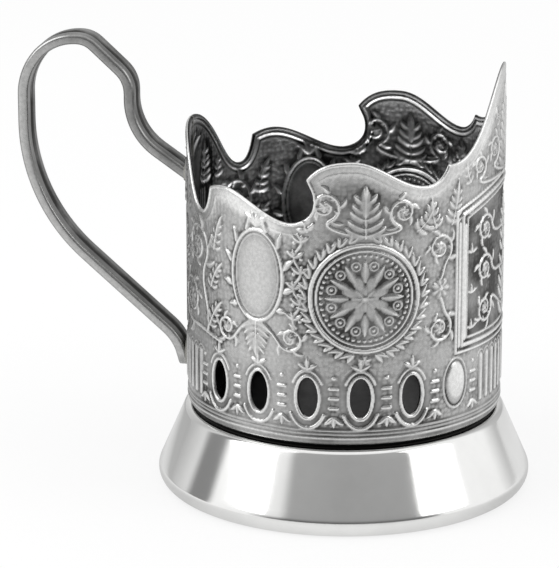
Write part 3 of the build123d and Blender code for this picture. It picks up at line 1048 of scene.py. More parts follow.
def outside_of(value, low, high):
    """How far a value lies outside a range, and zero within it."""
    return np.maximum(np.maximum(low - value, value - high), 0.0)


def emboss(sheet, relief):
    """All the ornament of the half sheet, kept off the handle's joints and faded out at the corner."""
    emboss_rim(sheet, relief)
    emboss_holes(sheet, relief)
    emboss_medallion(sheet, relief)
    emboss_cartouche(sheet, relief)
    emboss_handle_side(sheet, relief)
    emboss_peak_side(sheet, relief)
    emboss_base(sheet, relief)
    stipple_ground(sheet, relief)
    for low, high in JOINT_LEVELS:
        off = np.maximum(outside_of(sheet.z, low, high), np.clip(sheet.s - JOINT_HALF, 0, None))
        sheet.relief *= np.clip(off, 0, 1)
    sheet.relief *= np.clip((sheet.z - WALL_START) / 0.6, 0, 1)


# Meshes


def outward(points, faces):
    """Faces turned so that the closed shape's volume, the sum of its corner tetrahedra, is positive."""
    volume = 0.0
    for group in faces:
        for corner in range(2, group.shape[1]):
            first, second, third = (points[group[:, place]] for place in (0, corner - 1, corner))
            volume += np.einsum("ij,ij->", first, np.cross(second, third))
    return faces if volume > 0 else [group[:, ::-1] for group in faces]


def make_piece(name, points, faces, materials, indices=None):
    """Puts a shape, in millimetres, into a mesh object at the origin, shaded smooth. Faces are groups of
    quads or triangles, and indices give each face's material."""
    mesh = bpy.data.meshes.new(name)
    mesh.vertices.add(len(points))
    mesh.vertices.foreach_set("co", (points * MM).astype(np.float32).ravel())
    corners = np.concatenate([group.ravel() for group in faces]).astype(np.int32)
    counts = np.concatenate([np.full(len(group), group.shape[1]) for group in faces])
    starts = np.concatenate([[0], np.cumsum(counts)[:-1]]).astype(np.int32)
    mesh.loops.add(len(corners))
    mesh.loops.foreach_set("vertex_index", corners)
    mesh.polygons.add(len(starts))
    mesh.polygons.foreach_set("loop_start", starts)
    if indices is not None:
        mesh.polygons.foreach_set("material_index", indices.astype(np.int32))
    mesh.update(calc_edges=True)
    mesh.validate()
    mesh.shade_smooth()
    for material in materials:
        mesh.materials.append(material)
    piece = bpy.data.objects.new(name, mesh)
    bpy.context.collection.objects.link(piece)
    return piece


def mark_sharp(piece, pairs):
    """Marks the edges between the given pairs of points as sharp, found by one number for each pair."""
    mesh = piece.data
    ends = np.empty(2 * len(mesh.edges), np.int32)
    mesh.edges.foreach_get("vertices", ends)
    ends = np.sort(ends.reshape(-1, 2).astype(np.int64), axis=1)
    pairs = np.sort(np.asarray(pairs, np.int64), axis=1)
    count = len(mesh.vertices)
    sharp = np.isin(ends[:, 0] * count + ends[:, 1], pairs[:, 0] * count + pairs[:, 1])
    attribute = mesh.attributes.get("sharp_edge") or mesh.attributes.new("sharp_edge", "BOOLEAN", "EDGE")
    attribute.data.foreach_set("value", sharp)


def set_values(piece, name, values):
    """Stores one number for each point as an attribute that materials read."""
    attribute = piece.data.attributes.new(name, "FLOAT", "POINT")
    attribute.data.foreach_set("value", values.astype(np.float32))


def ring_quads(rings, around, closed):
    """Quads of a grid of rings: two neighbours on a ring and the same two on the next ring."""
    ring = np.arange(rings if closed else rings - 1)[:, None]
    step = np.arange(around)
    after = (step + 1) % around
    here = ring * around
    there = (ring + 1) % rings * around
    return np.stack([here + step, here + after, there + after, there + step], axis=-1).reshape(-1, 4)


def revolve(profile, segments):
    """Closed profile of distance and height turned about the axis: x and y are the distance times the cosine
    and sine of each segment's angle."""
    turn = np.linspace(0.0, 2 * math.pi, segments, endpoint=False)[:, None]
    distance, height = profile[:, 0], profile[:, 1]
    points = np.stack([distance * np.cos(turn), distance * np.sin(turn), height + 0 * turn], axis=-1)
    return points.reshape(-1, 3), ring_quads(segments, len(profile), True)


def arc(centre, radius, start, end, steps):
    """Points of a circle from one angle to another, in radians."""
    turn = np.linspace(start, end, steps)
    return np.asarray(centre) + radius * np.stack([np.cos(turn), np.sin(turn)], axis=1)


def sheet_faces(sheet, first, last):
    """Faces of the flat sheet between two columns: quads with no corner off the metal, and triangles where
    one corner is off it."""
    number = np.arange(sheet.s.size).reshape(sheet.s.shape)
    span = slice(first, last + 1)
    state = sheet.state[span]
    side = sheet.side[span]
    index = number[span]
    shifts = ((slice(None, -1), slice(None, -1)), (slice(1, None), slice(None, -1)))
    shifts += ((slice(1, None), slice(1, None)), (slice(None, -1), slice(1, None)))
    states = np.stack([state[shift] for shift in shifts], axis=-1).reshape(-1, 4)
    sides = np.stack([side[shift] for shift in shifts], axis=-1).reshape(-1, 4)
    corners = np.stack([index[shift] for shift in shifts], axis=-1).reshape(-1, 4)
    off = (states < 0).sum(axis=1)
    held = (states > 0).any(axis=1) | (sides.sum(axis=1) > 0)
    quads = corners[(off == 0) & held]
    triangles = []
    for corner in range(4):
        others = [(corner + step) % 4 for step in (1, 2, 3)]
        kept = (off == 1) & (states[:, corner] < 0) & (states[:, others] > 0).any(axis=1)
        triangles.append(corners[kept][:, others])
    return quads, np.concatenate(triangles)


def open_edges(groups):
    """The directed edges of the faces that no other face runs along the other way."""
    pairs = [
        np.stack([group[:, step], group[:, (step + 1) % group.shape[1]]], axis=1)
        for group in groups
        for step in range(group.shape[1])
    ]
    pairs = np.concatenate(pairs).astype(np.int64)
    count = pairs.max() + 1
    there = pairs[:, 0] * count + pairs[:, 1]
    back = pairs[:, 1] * count + pairs[:, 0]
    return pairs[~np.isin(there, back)]


def wrap(distance, s, z):
    """Flat sheet to wall: the angle is s over the wall's radius, counted from the handle."""
    angle = s / WALL
    return np.stack([-distance * np.cos(angle), -distance * np.sin(angle), z], axis=-1)


def near_rim(sheet):
    """One by the rim and zero by the holes."""
    return np.clip((sheet.z - RIM_PART) / RIM_PART_FADE, 0.0, 1.0)


def sleeve_shells(sheet):
    """Outer and inner surface of the half sleeve, and the relief as pressed through. On the wall the outer
    one is the wall's radius plus the relief, and the inner one is the bore plus the softened relief, as in
    stamped sheet. Below, both turn a quarter circle into the flange. Near an edge the sheet thins a little,
    which rounds the edge, and inside the rim it has a shallow lip with a groove behind it."""
    fall = np.clip(WALL_START - sheet.z, 0.0, None)
    turn = np.clip(fall / CORNER, 0.0, math.pi / 2)
    run = np.clip(fall - CORNER * math.pi / 2, 0.0, None)
    raised = np.maximum(sheet.relief, 0.0)
    press = (0.5 * raised + 0.5 * soften(raised, 1)) * np.clip((sheet.edge - 0.8) / 0.5, 0.0, 1.0)
    rounding = EDGE_ROUNDING * np.clip(1 - sheet.edge / EDGE_RUN, 0.0, 1.0) ** 2
    lip = LIP_DEPTH * np.clip(1 - sheet.edge / LIP_RUN, 0.0, 1.0) + np.interp(sheet.edge, *RIM_GROOVE)
    pushed = PRESS_THROUGH * press + rounding + lip * near_rim(sheet)
    outer = WALL - CORNER * (1 - np.cos(turn)) - run + sheet.relief - rounding
    inner = BORE - INNER_CORNER * (1 - np.cos(turn)) - run + pushed
    outer_z = np.where(fall > 0, WALL_START - CORNER * np.sin(turn), sheet.z)
    inner_z = np.where(fall > 0, WALL_START - INNER_CORNER * np.sin(turn), sheet.z)
    return wrap(outer, sheet.s, outer_z), wrap(inner, sheet.s, inner_z), press


def under_softened(sheet, field, reach_mm):
    """How far a field lies under itself softened over a reach in millimetres."""
    return soften(field, max(round(reach_mm / sheet.cell), 1)) - field


def sleeve_tones(sheet, press):
    """How dark each point is, outside and inside. Outside it runs from -1, rubbed bright as wear and painted
    highlight, to 1, dark: how far the point lies under the softened relief, closely and widely taken, with
    the darkened ground and a darker band along the bottom over the foot added and the rubbed places taken
    off. The turned corner is painted black as the shadow in the groove over the foot. Inside it runs from 0,
    black, to over 1, bright: painted shade at the edge and in the groove behind it, a painted highlight on a
    thin line along the rim, darker near the handle, lighter towards the tall peak, and painted glints,
    lighter where the pressed relief stands off its softened self."""
    close = under_softened(sheet, sheet.relief, 0.36)
    wide = under_softened(sheet, sheet.relief, 1.2)
    hollow = 0.85 * np.clip(close / 0.11, 0.0, 1.0) + 0.25 * np.clip(wide / 0.16, 0.0, 1.0)
    crest = np.clip(-close / 0.10 - 0.25, 0.0, 1.0)
    hollow = hollow * (1 - 0.7 * sheet.rubbed_and_highlit) + sheet.ground * (sheet.relief < 0.12)
    # Darker along the bottom of the wall, over the foot.
    bottom_darkening = 0.22 * np.clip((23.4 - sheet.z) / 0.6, 0.0, 1.0)
    # Painted shadow: the turned corner is painted black, as the shade in the groove over the foot.
    painted_shadow = PAINTED_SHADOW * np.clip((WALL_START - 1.35 - sheet.z) / 0.25, 0.0, 1.0)
    outside = np.clip(hollow + bottom_darkening - np.maximum(0.8 * crest, sheet.rubbed_and_highlit), -1.0, 1.0) + painted_shadow
    # Painted glints and shade inside: lighter where the pressed relief stands off its softened self, darker
    # where it sinks under it.
    lines = np.clip(-under_softened(sheet, press, 0.6) / 0.08, -0.7, 1.0)
    upper = near_rim(sheet)
    # Painted highlight on a thin line along the inside of the rim.
    bright = 0.8 * np.exp(-(((sheet.edge - 1.2) / 0.5) ** 2)) * upper
    # Painted shade at the inner edge and in the groove behind the painted highlight.
    black = np.clip(2.2 - sheet.edge / 0.28, 0.0, 1.0)
    black += 0.6 * np.exp(-(((sheet.edge - 2.15) / 0.3) ** 2)) * upper
    # Darker near the handle and lighter towards the tall peak.
    near_handle_darkening = 0.5 * np.clip((16.0 - sheet.s) / 6.0, 0.0, 1.0)
    towards_peak_lightening = 0.16 * np.clip((sheet.s - 45.0) / 30.0, 0.0, 1.0)
    inside = np.clip(0.8 + towards_peak_lightening + 0.9 * lines + bright - black - near_handle_darkening, 0.0, 1.2)
    return outside, inside


# Materials


def principled(name):
    """New material: its node tree, its shader and its Object coordinates."""
    material = bpy.data.materials.new(name)
    material.use_nodes = True
    tree = material.node_tree
    shader = tree.nodes["Principled BSDF"]
    coordinates = tree.nodes.new("ShaderNodeTexCoord")
    return material, tree, shader, coordinates.outputs["Object"]


def group_tree(name, inputs, outputs):
    """New shader node group with named sockets, given as name, socket type and default."""
    tree = bpy.data.node_groups.new(name, "ShaderNodeTree")
    for label, kind, default in inputs:
        socket = tree.interface.new_socket(label, in_out="INPUT", socket_type=kind)
        if default is not None:
            socket.default_value = default
    for label, kind in outputs:
        tree.interface.new_socket(label, in_out="OUTPUT", socket_type=kind)
    return tree, tree.nodes.new("NodeGroupInput"), tree.nodes.new("NodeGroupOutput")


def add_math(tree, operation, first, second=None):
    """Math node on two sockets or numbers; returns its output."""
    node = tree.nodes.new("ShaderNodeMath")
    node.operation = operation
    for socket, value in zip(node.inputs, (first, second)):
        if value is None:
            continue
        if isinstance(value, (int, float)):
            socket.default_value = value
        else:
            tree.links.new(value, socket)
    return node.outputs[0]


def add_mix(tree, factor, first, second):
    """Colour mix of two sockets or colours by a factor socket; returns its output."""
    node = tree.nodes.new("ShaderNodeMix")
    node.data_type = "RGBA"
    tree.links.new(factor, node.inputs["Factor"])
    for label, value in (("A", first), ("B", second)):
        socket = next(entry for entry in node.inputs if entry.name == label and entry.type == "RGBA")
        if isinstance(value, bpy.types.NodeSocket):
            tree.links.new(value, socket)
        else:
            socket.default_value = (*value, 1.0)
    return next(entry for entry in node.outputs if entry.type == "RGBA")


def add_noise(tree, vector, scale, detail=3.0, roughness=0.55):
    """Noise texture on a vector socket; returns its value output."""
    node = tree.nodes.new("ShaderNodeTexNoise")
    node.inputs["Scale"].default_value = scale
    node.inputs["Detail"].default_value = detail
    node.inputs["Roughness"].default_value = roughness
    tree.links.new(vector, node.inputs["Vector"])
    return node.outputs[0]


def add_dot(tree, vector, axis):
    """Length of a vector socket along an axis; returns its output."""
    node = tree.nodes.new("ShaderNodeVectorMath")
    node.operation = "DOT_PRODUCT"
    node.inputs[1].default_value = axis
    tree.links.new(vector, node.inputs[0])
    return node.outputs["Value"]


def add_range(tree, value, low, high, to_low=0.0, to_high=1.0):
    """Map Range node that clamps; returns its output."""
    node = tree.nodes.new("ShaderNodeMapRange")
    tree.links.new(value, node.inputs["Value"])
    node.inputs["From Min"].default_value = low
    node.inputs["From Max"].default_value = high
    node.inputs["To Min"].default_value = to_low
    node.inputs["To Max"].default_value = to_high
    return node.outputs["Result"]


def tarnish_group():
    """Tarnish and painted light: metal darkens with its value for patina and painted shade, broken up
    by noise, and turns rougher there. Where the value is below zero it is rubbed bright, as wear and
    painted highlight."""
    inputs = (
        ("Vector", "NodeSocketVector", None),
        ("Hollow", "NodeSocketFloat", 0.0),
        ("Metal", "NodeSocketColor", (0.5, 0.5, 0.5, 1.0)),
        ("Dark", "NodeSocketColor", (0.1, 0.1, 0.1, 1.0)),
        ("Rubbed", "NodeSocketColor", (0.7, 0.7, 0.7, 1.0)),
        ("Smooth", "NodeSocketFloat", 0.32),
        ("Dull", "NodeSocketFloat", 0.6),
    )
    outputs = (("Colour", "NodeSocketColor"), ("Roughness", "NodeSocketFloat"))
    tree, entry, leave = group_tree("Tarnish", inputs, outputs)
    patches = add_noise(tree, entry.outputs["Vector"], 160.0, 4.0, 0.6)
    specks = add_noise(tree, entry.outputs["Vector"], 1500.0, 2.0, 0.5)
    cleaned = add_range(tree, add_noise(tree, entry.outputs["Vector"], 75.0, 2.0), 0.36, 0.62, 0.4, 1.0)
    held = add_math(tree, "MULTIPLY", entry.outputs["Hollow"], cleaned)
    stained = add_math(tree, "ADD", held, add_range(tree, patches, 0.3, 0.7, -0.10, 0.12))
    mask = add_range(tree, stained, 0.04, 0.9)
    rubbed_and_highlit = add_range(tree, entry.outputs["Hollow"], -0.1, -0.7)
    bared = add_mix(tree, rubbed_and_highlit, entry.outputs["Metal"], entry.outputs["Rubbed"])
    worn = add_mix(tree, mask, bared, entry.outputs["Dark"])
    grain = add_range(tree, specks, 0.35, 0.65, 0.0, 0.16)
    # Painted shadow: far above one the metal turns black.
    painted_shadow = add_range(tree, entry.outputs["Hollow"], 1.2, PAINTED_SHADOW - 0.6)
    grained = add_mix(tree, grain, worn, GRAIN_BLACK)
    tree.links.new(add_mix(tree, painted_shadow, grained, PAINTED_SHADOW_BLACK), leave.inputs["Colour"])
    dulled = add_math(tree, "SUBTRACT", entry.outputs["Dull"], entry.outputs["Smooth"])
    dulled = add_math(tree, "ADD", entry.outputs["Smooth"], add_math(tree, "MULTIPLY", mask, dulled))
    rough = add_math(tree, "ADD", dulled, add_range(tree, patches, 0.3, 0.7, -0.04, 0.05))
    tree.links.new(rough, leave.inputs["Roughness"])
    return tree


def scuff_group():
    """Scuffs: fine scratches, as the ridges of two stretched noises, over a soft hammered unevenness."""
    inputs = (("Vector", "NodeSocketVector", None), ("Scale", "NodeSocketFloat", 1.0))
    outputs = (("Height", "NodeSocketFloat"),)
    tree, entry, leave = group_tree("Scuffs", inputs, outputs)
    lines = None
    for turn, stretch in ((0.35, (60.0, 900.0, 240.0)), (-0.6, (700.0, 80.0, 420.0))):
        mapping = tree.nodes.new("ShaderNodeMapping")
        mapping.inputs["Rotation"].default_value = (turn, 0.4 * turn, turn)
        mapping.inputs["Scale"].default_value = stretch
        tree.links.new(entry.outputs["Vector"], mapping.inputs["Vector"])
        noise = add_noise(tree, mapping.outputs[0], 1.0, 2.0, 0.5)
        offset = add_math(tree, "ABSOLUTE", add_math(tree, "SUBTRACT", noise, 0.5))
        crest = add_range(tree, offset, 0.0, 0.03, 1.0, 0.0)
        lines = crest if lines is None else add_math(tree, "MAXIMUM", lines, crest)
    swell = add_noise(tree, entry.outputs["Vector"], 260.0, 3.0, 0.5)
    scaled = add_math(tree, "MULTIPLY", swell, entry.outputs["Scale"])
    cut = add_math(tree, "MULTIPLY", lines, 0.25)
    tree.links.new(add_math(tree, "SUBTRACT", scaled, cut), leave.inputs["Height"])
    return tree


def use_group(tree, group, **values):
    """Places a node group in a material, with its values and links by socket name."""
    node = tree.nodes.new("ShaderNodeGroup")
    node.node_tree = group
    for label, value in values.items():
        socket = node.inputs[label]
        if isinstance(value, bpy.types.NodeSocket):
            tree.links.new(value, socket)
        elif socket.type == "RGBA":
            socket.default_value = (*value, 1.0)
        else:
            socket.default_value = value
    return node


def add_bump(tree, shader, height, strength, distance):
    """Bump node from a height socket into the shader's normal."""
    bump = tree.nodes.new("ShaderNodeBump")
    bump.inputs["Strength"].default_value = strength
    bump.inputs["Distance"].default_value = distance
    tree.links.new(height, bump.inputs["Height"])
    tree.links.new(bump.outputs["Normal"], shader.inputs["Normal"])


def scaled_colour(colour, factor, limit=1.0):
    """A colour with each channel times a factor, kept under a limit."""
    return tuple(min(factor * channel, limit) for channel in colour)


def tarnished_metal(name, metal, dark, smooth, dull, attribute=None, bump=0.25):
    """Metal with darkened hollows, painted shade and highlights read from the piece's own attribute, and
    fine scuffs.
    """
    material, tree, shader, place = principled(name)
    rubbed_and_highlit = scaled_colour(metal, RUBBED_AND_HIGHLIT_GAIN, RUBBED_AND_HIGHLIT_LIMIT)
    values = {
        "Vector": place,
        "Metal": metal,
        "Dark": dark,
        "Rubbed": rubbed_and_highlit,
        "Smooth": smooth,
        "Dull": dull,
    }
    if attribute:
        reader = tree.nodes.new("ShaderNodeAttribute")
        reader.attribute_name = attribute
        values["Hollow"] = reader.outputs["Fac"]
    tarnish = use_group(tree, bpy.data.node_groups["Tarnish"], **values)
    scuffs = use_group(tree, bpy.data.node_groups["Scuffs"], Vector=place, Scale=1.0)
    shader.inputs["Metallic"].default_value = 1.0
    tree.links.new(tarnish.outputs["Colour"], shader.inputs["Base Color"])
    tree.links.new(tarnish.outputs["Roughness"], shader.inputs["Roughness"])
    add_bump(tree, shader, scuffs.outputs["Height"], bump, 0.05 * MM)
    return material


def oxidised_metal(name, metal, rubbed_and_highlit, dark):
    """Metal of the inside: black to bright by the piece's attribute, which carries its painted glints,
    highlight and shade, and darker near the floor.
    """
    material = tarnished_metal(name, metal, rubbed_and_highlit, 0.40, 0.30, "hollow")
    tree = material.node_tree
    shader = tree.nodes["Principled BSDF"]
    place = next(node for node in tree.nodes if node.type == "TEX_COORD").outputs["Object"]
    split = tree.nodes.new("ShaderNodeSeparateXYZ")
    tree.links.new(place, split.inputs[0])
    depth = add_range(tree, split.outputs[2], *[level * MM for level in INSIDE_DARK_LEVELS])
    colour = shader.inputs["Base Color"].links[0].from_socket
    sunk = add_mix(tree, depth, colour, scaled_colour(dark, 0.3))
    tree.links.new(sunk, shader.inputs["Base Color"])
    return material


def polished_metal(name, colour):
    """Polished metal: faint turning rings round the axis, smears that dull it and fine scratches."""
    material, tree, shader, place = principled(name)
    split = tree.nodes.new("ShaderNodeSeparateXYZ")
    tree.links.new(place, split.inputs[0])
    across = add_math(tree, "MULTIPLY", split.outputs[0], split.outputs[0])
    along = add_math(tree, "MULTIPLY", split.outputs[1], split.outputs[1])
    distance = add_math(tree, "SQRT", add_math(tree, "ADD", across, along))
    joined = tree.nodes.new("ShaderNodeCombineXYZ")
    tree.links.new(distance, joined.inputs[0])
    tree.links.new(split.outputs[2], joined.inputs[2])
    rings = add_noise(tree, joined.outputs[0], 900.0, 4.0, 0.7)
    smears = add_noise(tree, place, 70.0, 4.0, 0.6)
    scuffs = use_group(tree, bpy.data.node_groups["Scuffs"], Vector=place, Scale=0.3)
    tint = add_range(tree, smears, 0.35, 0.75, 0.0, 0.35)
    tree.links.new(add_mix(tree, tint, colour, scaled_colour(colour, 0.78)), shader.inputs["Base Color"])
    tree.links.new(add_range(tree, smears, 0.3, 0.75, 0.07, 0.16), shader.inputs["Roughness"])
    shader.inputs["Metallic"].default_value = 1.0
    height = add_math(tree, "ADD", add_math(tree, "MULTIPLY", rings, 0.35), scuffs.outputs["Height"])
    add_bump(tree, shader, height, 0.10, 0.03 * MM)
    return material


def add_to_object(piece, *nodes, slot):
    """The piece rides on the one body and stands for the named nodes, which are hidden. The slot is not
    used.
    """
    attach(piece, "root")
    if nodes:
        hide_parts(*nodes)


class HOLDER_OT_finishes(Operator):
    """Builds the finishes: the shared effects and the metals"""

    bl_idname = "holder.finishes"
    bl_label = "Finishes"

    def execute(self, context):
        finish = context.scene.holder_finish
        tarnish_group()
        scuff_group()
        satin = tuple(finish.satin_colour)
        hollow = tuple(finish.hollow_colour)
        inside = tuple(finish.inside_colour)
        braze = tuple(finish.braze_colour)
        tarnished_metal("Sleeve outside", satin, hollow, 0.26, 0.52, "hollow")
        rubbed_and_highlit = scaled_colour(inside, 1.8, 0.95)
        oxidised_metal("Sleeve inside", scaled_colour(inside, 0.05), rubbed_and_highlit, hollow)
        tarnished_metal("Handle strip", tuple(finish.strip_colour), hollow, 0.26, 0.5, "hollow")
        tarnished_metal("Floor", scaled_colour(inside, 0.2), hollow, 0.42, 0.6, "hollow")
        tarnished_metal("Braze", braze, hollow, 0.42, 0.6, bump=0.6)
        # Braze painted near black, as the shade in the groove over the foot and at the floor inside.
        tarnished_metal("Blackened braze", scaled_colour(braze, 0.05), hollow, 0.5, 0.6)
        polished_metal("Polished foot", tuple(finish.polish_colour))
        return {"FINISHED"}


class HOLDER_OT_sleeve(Operator):
    """Builds the pierced and embossed sleeve, in three sectors on each side"""

    bl_idname = "holder.sleeve"
    bl_label = "Sleeve"

    def execute(self, context):
        size = sizes()
        sheet = FlatSheet(size["sheet_cell"], size["hole_width"], size["hole_height"])
        emboss(sheet, size["relief"])
        outer, inner, press = sleeve_shells(sheet)
        tones = [tone.ravel() for tone in sleeve_tones(sheet, press)]
        materials = [bpy.data.materials["Sleeve outside"], bpy.data.materials["Sleeve inside"]]
        splits = np.searchsorted(sheet.columns, np.radians(SECTOR_SPLITS) * WALL - 0.01)
        splits[-1] = len(sheet.columns) - 1
        pieces = []
        for name, first, last in zip(SECTOR_NAMES, splits[:-1], splits[1:]):
            quads, triangles = sheet_faces(sheet, first, last)
            corners = np.concatenate([quads.ravel(), triangles.ravel()])
            used, packed = np.unique(corners, return_inverse=True)
            quads = packed[: quads.size].reshape(-1, 4)
            triangles = packed[quads.size :].reshape(-1, 3)
            count = len(used)
            edges = open_edges([quads, triangles])
            columns = used[edges] // len(sheet.rows)
            joint = (columns[:, 0] == columns[:, 1]) & np.isin(columns[:, 0], (first, last))
            ring, middles = np.unique(edges, return_inverse=True)
            middles = middles.reshape(-1, 2) + 2 * count
            outer_cut = np.concatenate([edges[:, ::-1], middles], axis=1)
            inner_cut = np.concatenate([middles[:, ::-1], edges + count], axis=1)
            shell = [quads, triangles, outer_cut]
            shell += [quads[:, ::-1] + count, triangles[:, ::-1] + count, inner_cut]
            indices = np.repeat((0, 0, 0, 1, 1, 1), [len(group) for group in shell])
            points = np.concatenate([outer.reshape(-1, 3)[used], inner.reshape(-1, 3)[used]])
            points = np.concatenate([points, (points[ring] + points[ring + count]) / 2])
            # Painted highlight along the middle of each cut edge, turning to painted shade on the tall peak.
            painted_cut_edge_light = 0.9 - 1.5 * np.interp(sheet.s.ravel()[used[ring]], *PEAK_FADE)
            hollow = np.concatenate([tones[0][used], tones[1][used], painted_cut_edge_light])
            for side, label in ((1, "front"), (-1, "back")):
                placed = points * (1, side, 1)
                faces = shell if side > 0 else [group[:, ::-1] for group in shell]
                piece = make_piece(f"sleeve_{label}_{name}", placed, faces, materials, indices)
                mark_sharp(piece, np.concatenate([edges[joint], edges + count]))
                # The attribute carries patina together with painted highlights and painted shade.
                set_values(piece, "hollow", hollow)
                pieces.append(piece)
        add_to_object(pieces[0], "sleeve", slot="sleeve_metal")
        for piece in pieces[1:]:
            add_to_object(piece, slot="sleeve_metal")
        return {"FINISHED"}


def foot_profile(radius):
    """Section of the foot as distance and height: the flange, a rounded shoulder, a straight cone, and a hem
    that curls round a circle and is ground flat below, with the sheet's thickness between both faces."""
    top = FOOT_HIGH[2] / MM
    centre = np.array([radius - HEM_RADIUS, HEM_RADIUS - HEM_GRIND])
    outer_hem = arc(centre, HEM_RADIUS, FOOT_FLARE, FOOT_FLARE - HEM_CURL, 64)
    inner_hem = arc(centre, HEM_RADIUS - SHEET, FOOT_FLARE - HEM_CURL, FOOT_FLARE, 48)
    ease = SHOULDER_RADIUS * math.tan((math.pi / 2 - FOOT_FLARE) / 2)
    shoulder = outer_hem[0, 0] - (top - outer_hem[0, 1]) * math.tan(FOOT_FLARE)
    bend = (shoulder - ease, top - SHOULDER_RADIUS)
    outer_bend = arc(bend, SHOULDER_RADIUS, math.pi / 2, FOOT_FLARE, 16)
    inner_bend = arc(bend, SHOULDER_RADIUS - SHEET, FOOT_FLARE, math.pi / 2, 8)
    share = np.linspace(0.0, 1.0, 14)[1:-1, None]
    flange_edge = np.array([(FLANGE_BORE, top - SHEET), (FLANGE_BORE, top)])
    cone = outer_bend[-1] + share * (outer_hem[0] - outer_bend[-1])
    under = inner_hem[-1] + share * (inner_bend[0] - inner_hem[-1])
    profile = np.concatenate([flange_edge, outer_bend, cone, outer_hem, inner_hem, under, inner_bend])
    profile[:, 1] = np.maximum(profile[:, 1], 0.0)
    return profile


def disc_shape():
    """The floor disc: a flat rim, a short ramp and a plateau turned about the axis, with the small hole that
    is left at the plateau's heart closed by a fan of triangles on each face."""
    low = DISC_LOW[2] / MM
    edge = DISC_HIGH[0] / MM
    steps = np.linspace(PLATEAU_HEART, PLATEAU_RADIUS, PLATEAU_RINGS)
    upper = np.stack([steps, np.full(PLATEAU_RINGS, low + DISC_SHEET + PLATEAU_RISE)], axis=1)
    lower = np.stack([steps[::-1], np.full(PLATEAU_RINGS, low + PLATEAU_RISE)], axis=1)
    ramp = PLATEAU_RADIUS + PLATEAU_SLOPE
    rim = np.array([(ramp, low + DISC_SHEET), (edge, low + DISC_SHEET), (edge, low), (ramp, low)])
    profile = np.concatenate([upper, rim, lower])
    points, quads = revolve(profile, DISC_SEGMENTS)
    points = np.concatenate([points, [(0, 0, upper[0, 1]), (0, 0, lower[0, 1])]])
    crown, base = len(points) - 2, len(points) - 1
    rings = len(profile)
    start = np.arange(DISC_SEGMENTS) * rings
    ahead = np.roll(start, -1)
    inner_wall = (quads[:, 0] % rings == rings - 1) & (quads[:, 1] % rings == 0)
    top_fan = np.stack([start, ahead, np.full(DISC_SEGMENTS, crown)], axis=1)
    low_fan = np.stack([ahead + rings - 1, start + rings - 1, np.full(DISC_SEGMENTS, base)], axis=1)
    return points, [quads[~inner_wall], top_fan, low_fan]


class HOLDER_OT_foot(Operator):
    """Builds the polished foot with its rolled hem, and the floor disc, painted with shade towards the
    handle and under the flange
    """

    bl_idname = "holder.foot"
    bl_label = "Foot and Floor"

    def execute(self, context):
        points, quads = revolve(foot_profile(sizes()["foot_radius"]), FOOT_SEGMENTS)
        piece = make_piece("foot", points, outward(points, [quads]), [bpy.data.materials["Polished foot"]])
        piece.data.set_sharp_from_angle(angle=SHEET_SHARP)
        add_to_object(piece, "foot_skirt", slot="foot_metal")
        points, faces = disc_shape()
        piece = make_piece("floor", points, outward(points, faces), [bpy.data.materials["Floor"]])
        piece.data.set_sharp_from_angle(angle=SHEET_SHARP)
        # Painted shade: the disc is painted black towards the handle and where it lies under the flange.
        painted_floor_shade = np.clip((-FLOOR_SHADE_START - points[:, 0]) / FLOOR_SHADE_RUN, 0.0, 1.0)
        under_flange = np.hypot(points[:, 0], points[:, 1]) > FLANGE_BORE
        set_values(piece, "hollow", PAINTED_SHADOW * np.maximum(painted_floor_shade, under_flange))
        add_to_object(piece, "floor_disc", slot="floor_metal")
        return {"FINISHED"}


def strip_path():
    """Centre line of the handle: straight runs between corners, each corner an arc that touches both runs.
    Returned as even steps along it, with the run to each."""
    corners = np.asarray(STRIP_CORNERS, float)
    points = [corners[:1]]
    for corner, radius in enumerate(STRIP_RADII, start=1):
        back = corners[corner - 1] - corners[corner]
        ahead = corners[corner + 1] - corners[corner]
        back /= np.linalg.norm(back)
        ahead /= np.linalg.norm(ahead)
        half = math.acos(np.clip(back @ ahead, -1, 1)) / 2
        middle = back + ahead
        centre = corners[corner] + middle / np.linalg.norm(middle) * radius / math.sin(half)
        start = corners[corner] + back * radius / math.tan(half) - centre
        end = corners[corner] + ahead * radius / math.tan(half) - centre
        first = math.atan2(start[1], start[0])
        turn = (math.atan2(end[1], end[0]) - first + math.pi) % (2 * math.pi) - math.pi
        steps = max(round(abs(turn) * radius / STRIP_ARC_STEP), 8)
        points.append(arc(centre, radius, first, first + turn, steps))
    points.append(corners[-1:])
    line = np.concatenate(points)
    run = np.concatenate([[0.0], np.cumsum(np.linalg.norm(np.diff(line, axis=0), axis=1))])
    even = np.linspace(0.0, run[-1], round(run[-1] / STRIP_RING_STEP))
    return along_line(even, run, line), even


def along_line(places, run, line):
    """Points of a line at given places along its run."""
    return np.stack([np.interp(places, run, line[:, 0]), np.interp(places, run, line[:, 1])], axis=1)


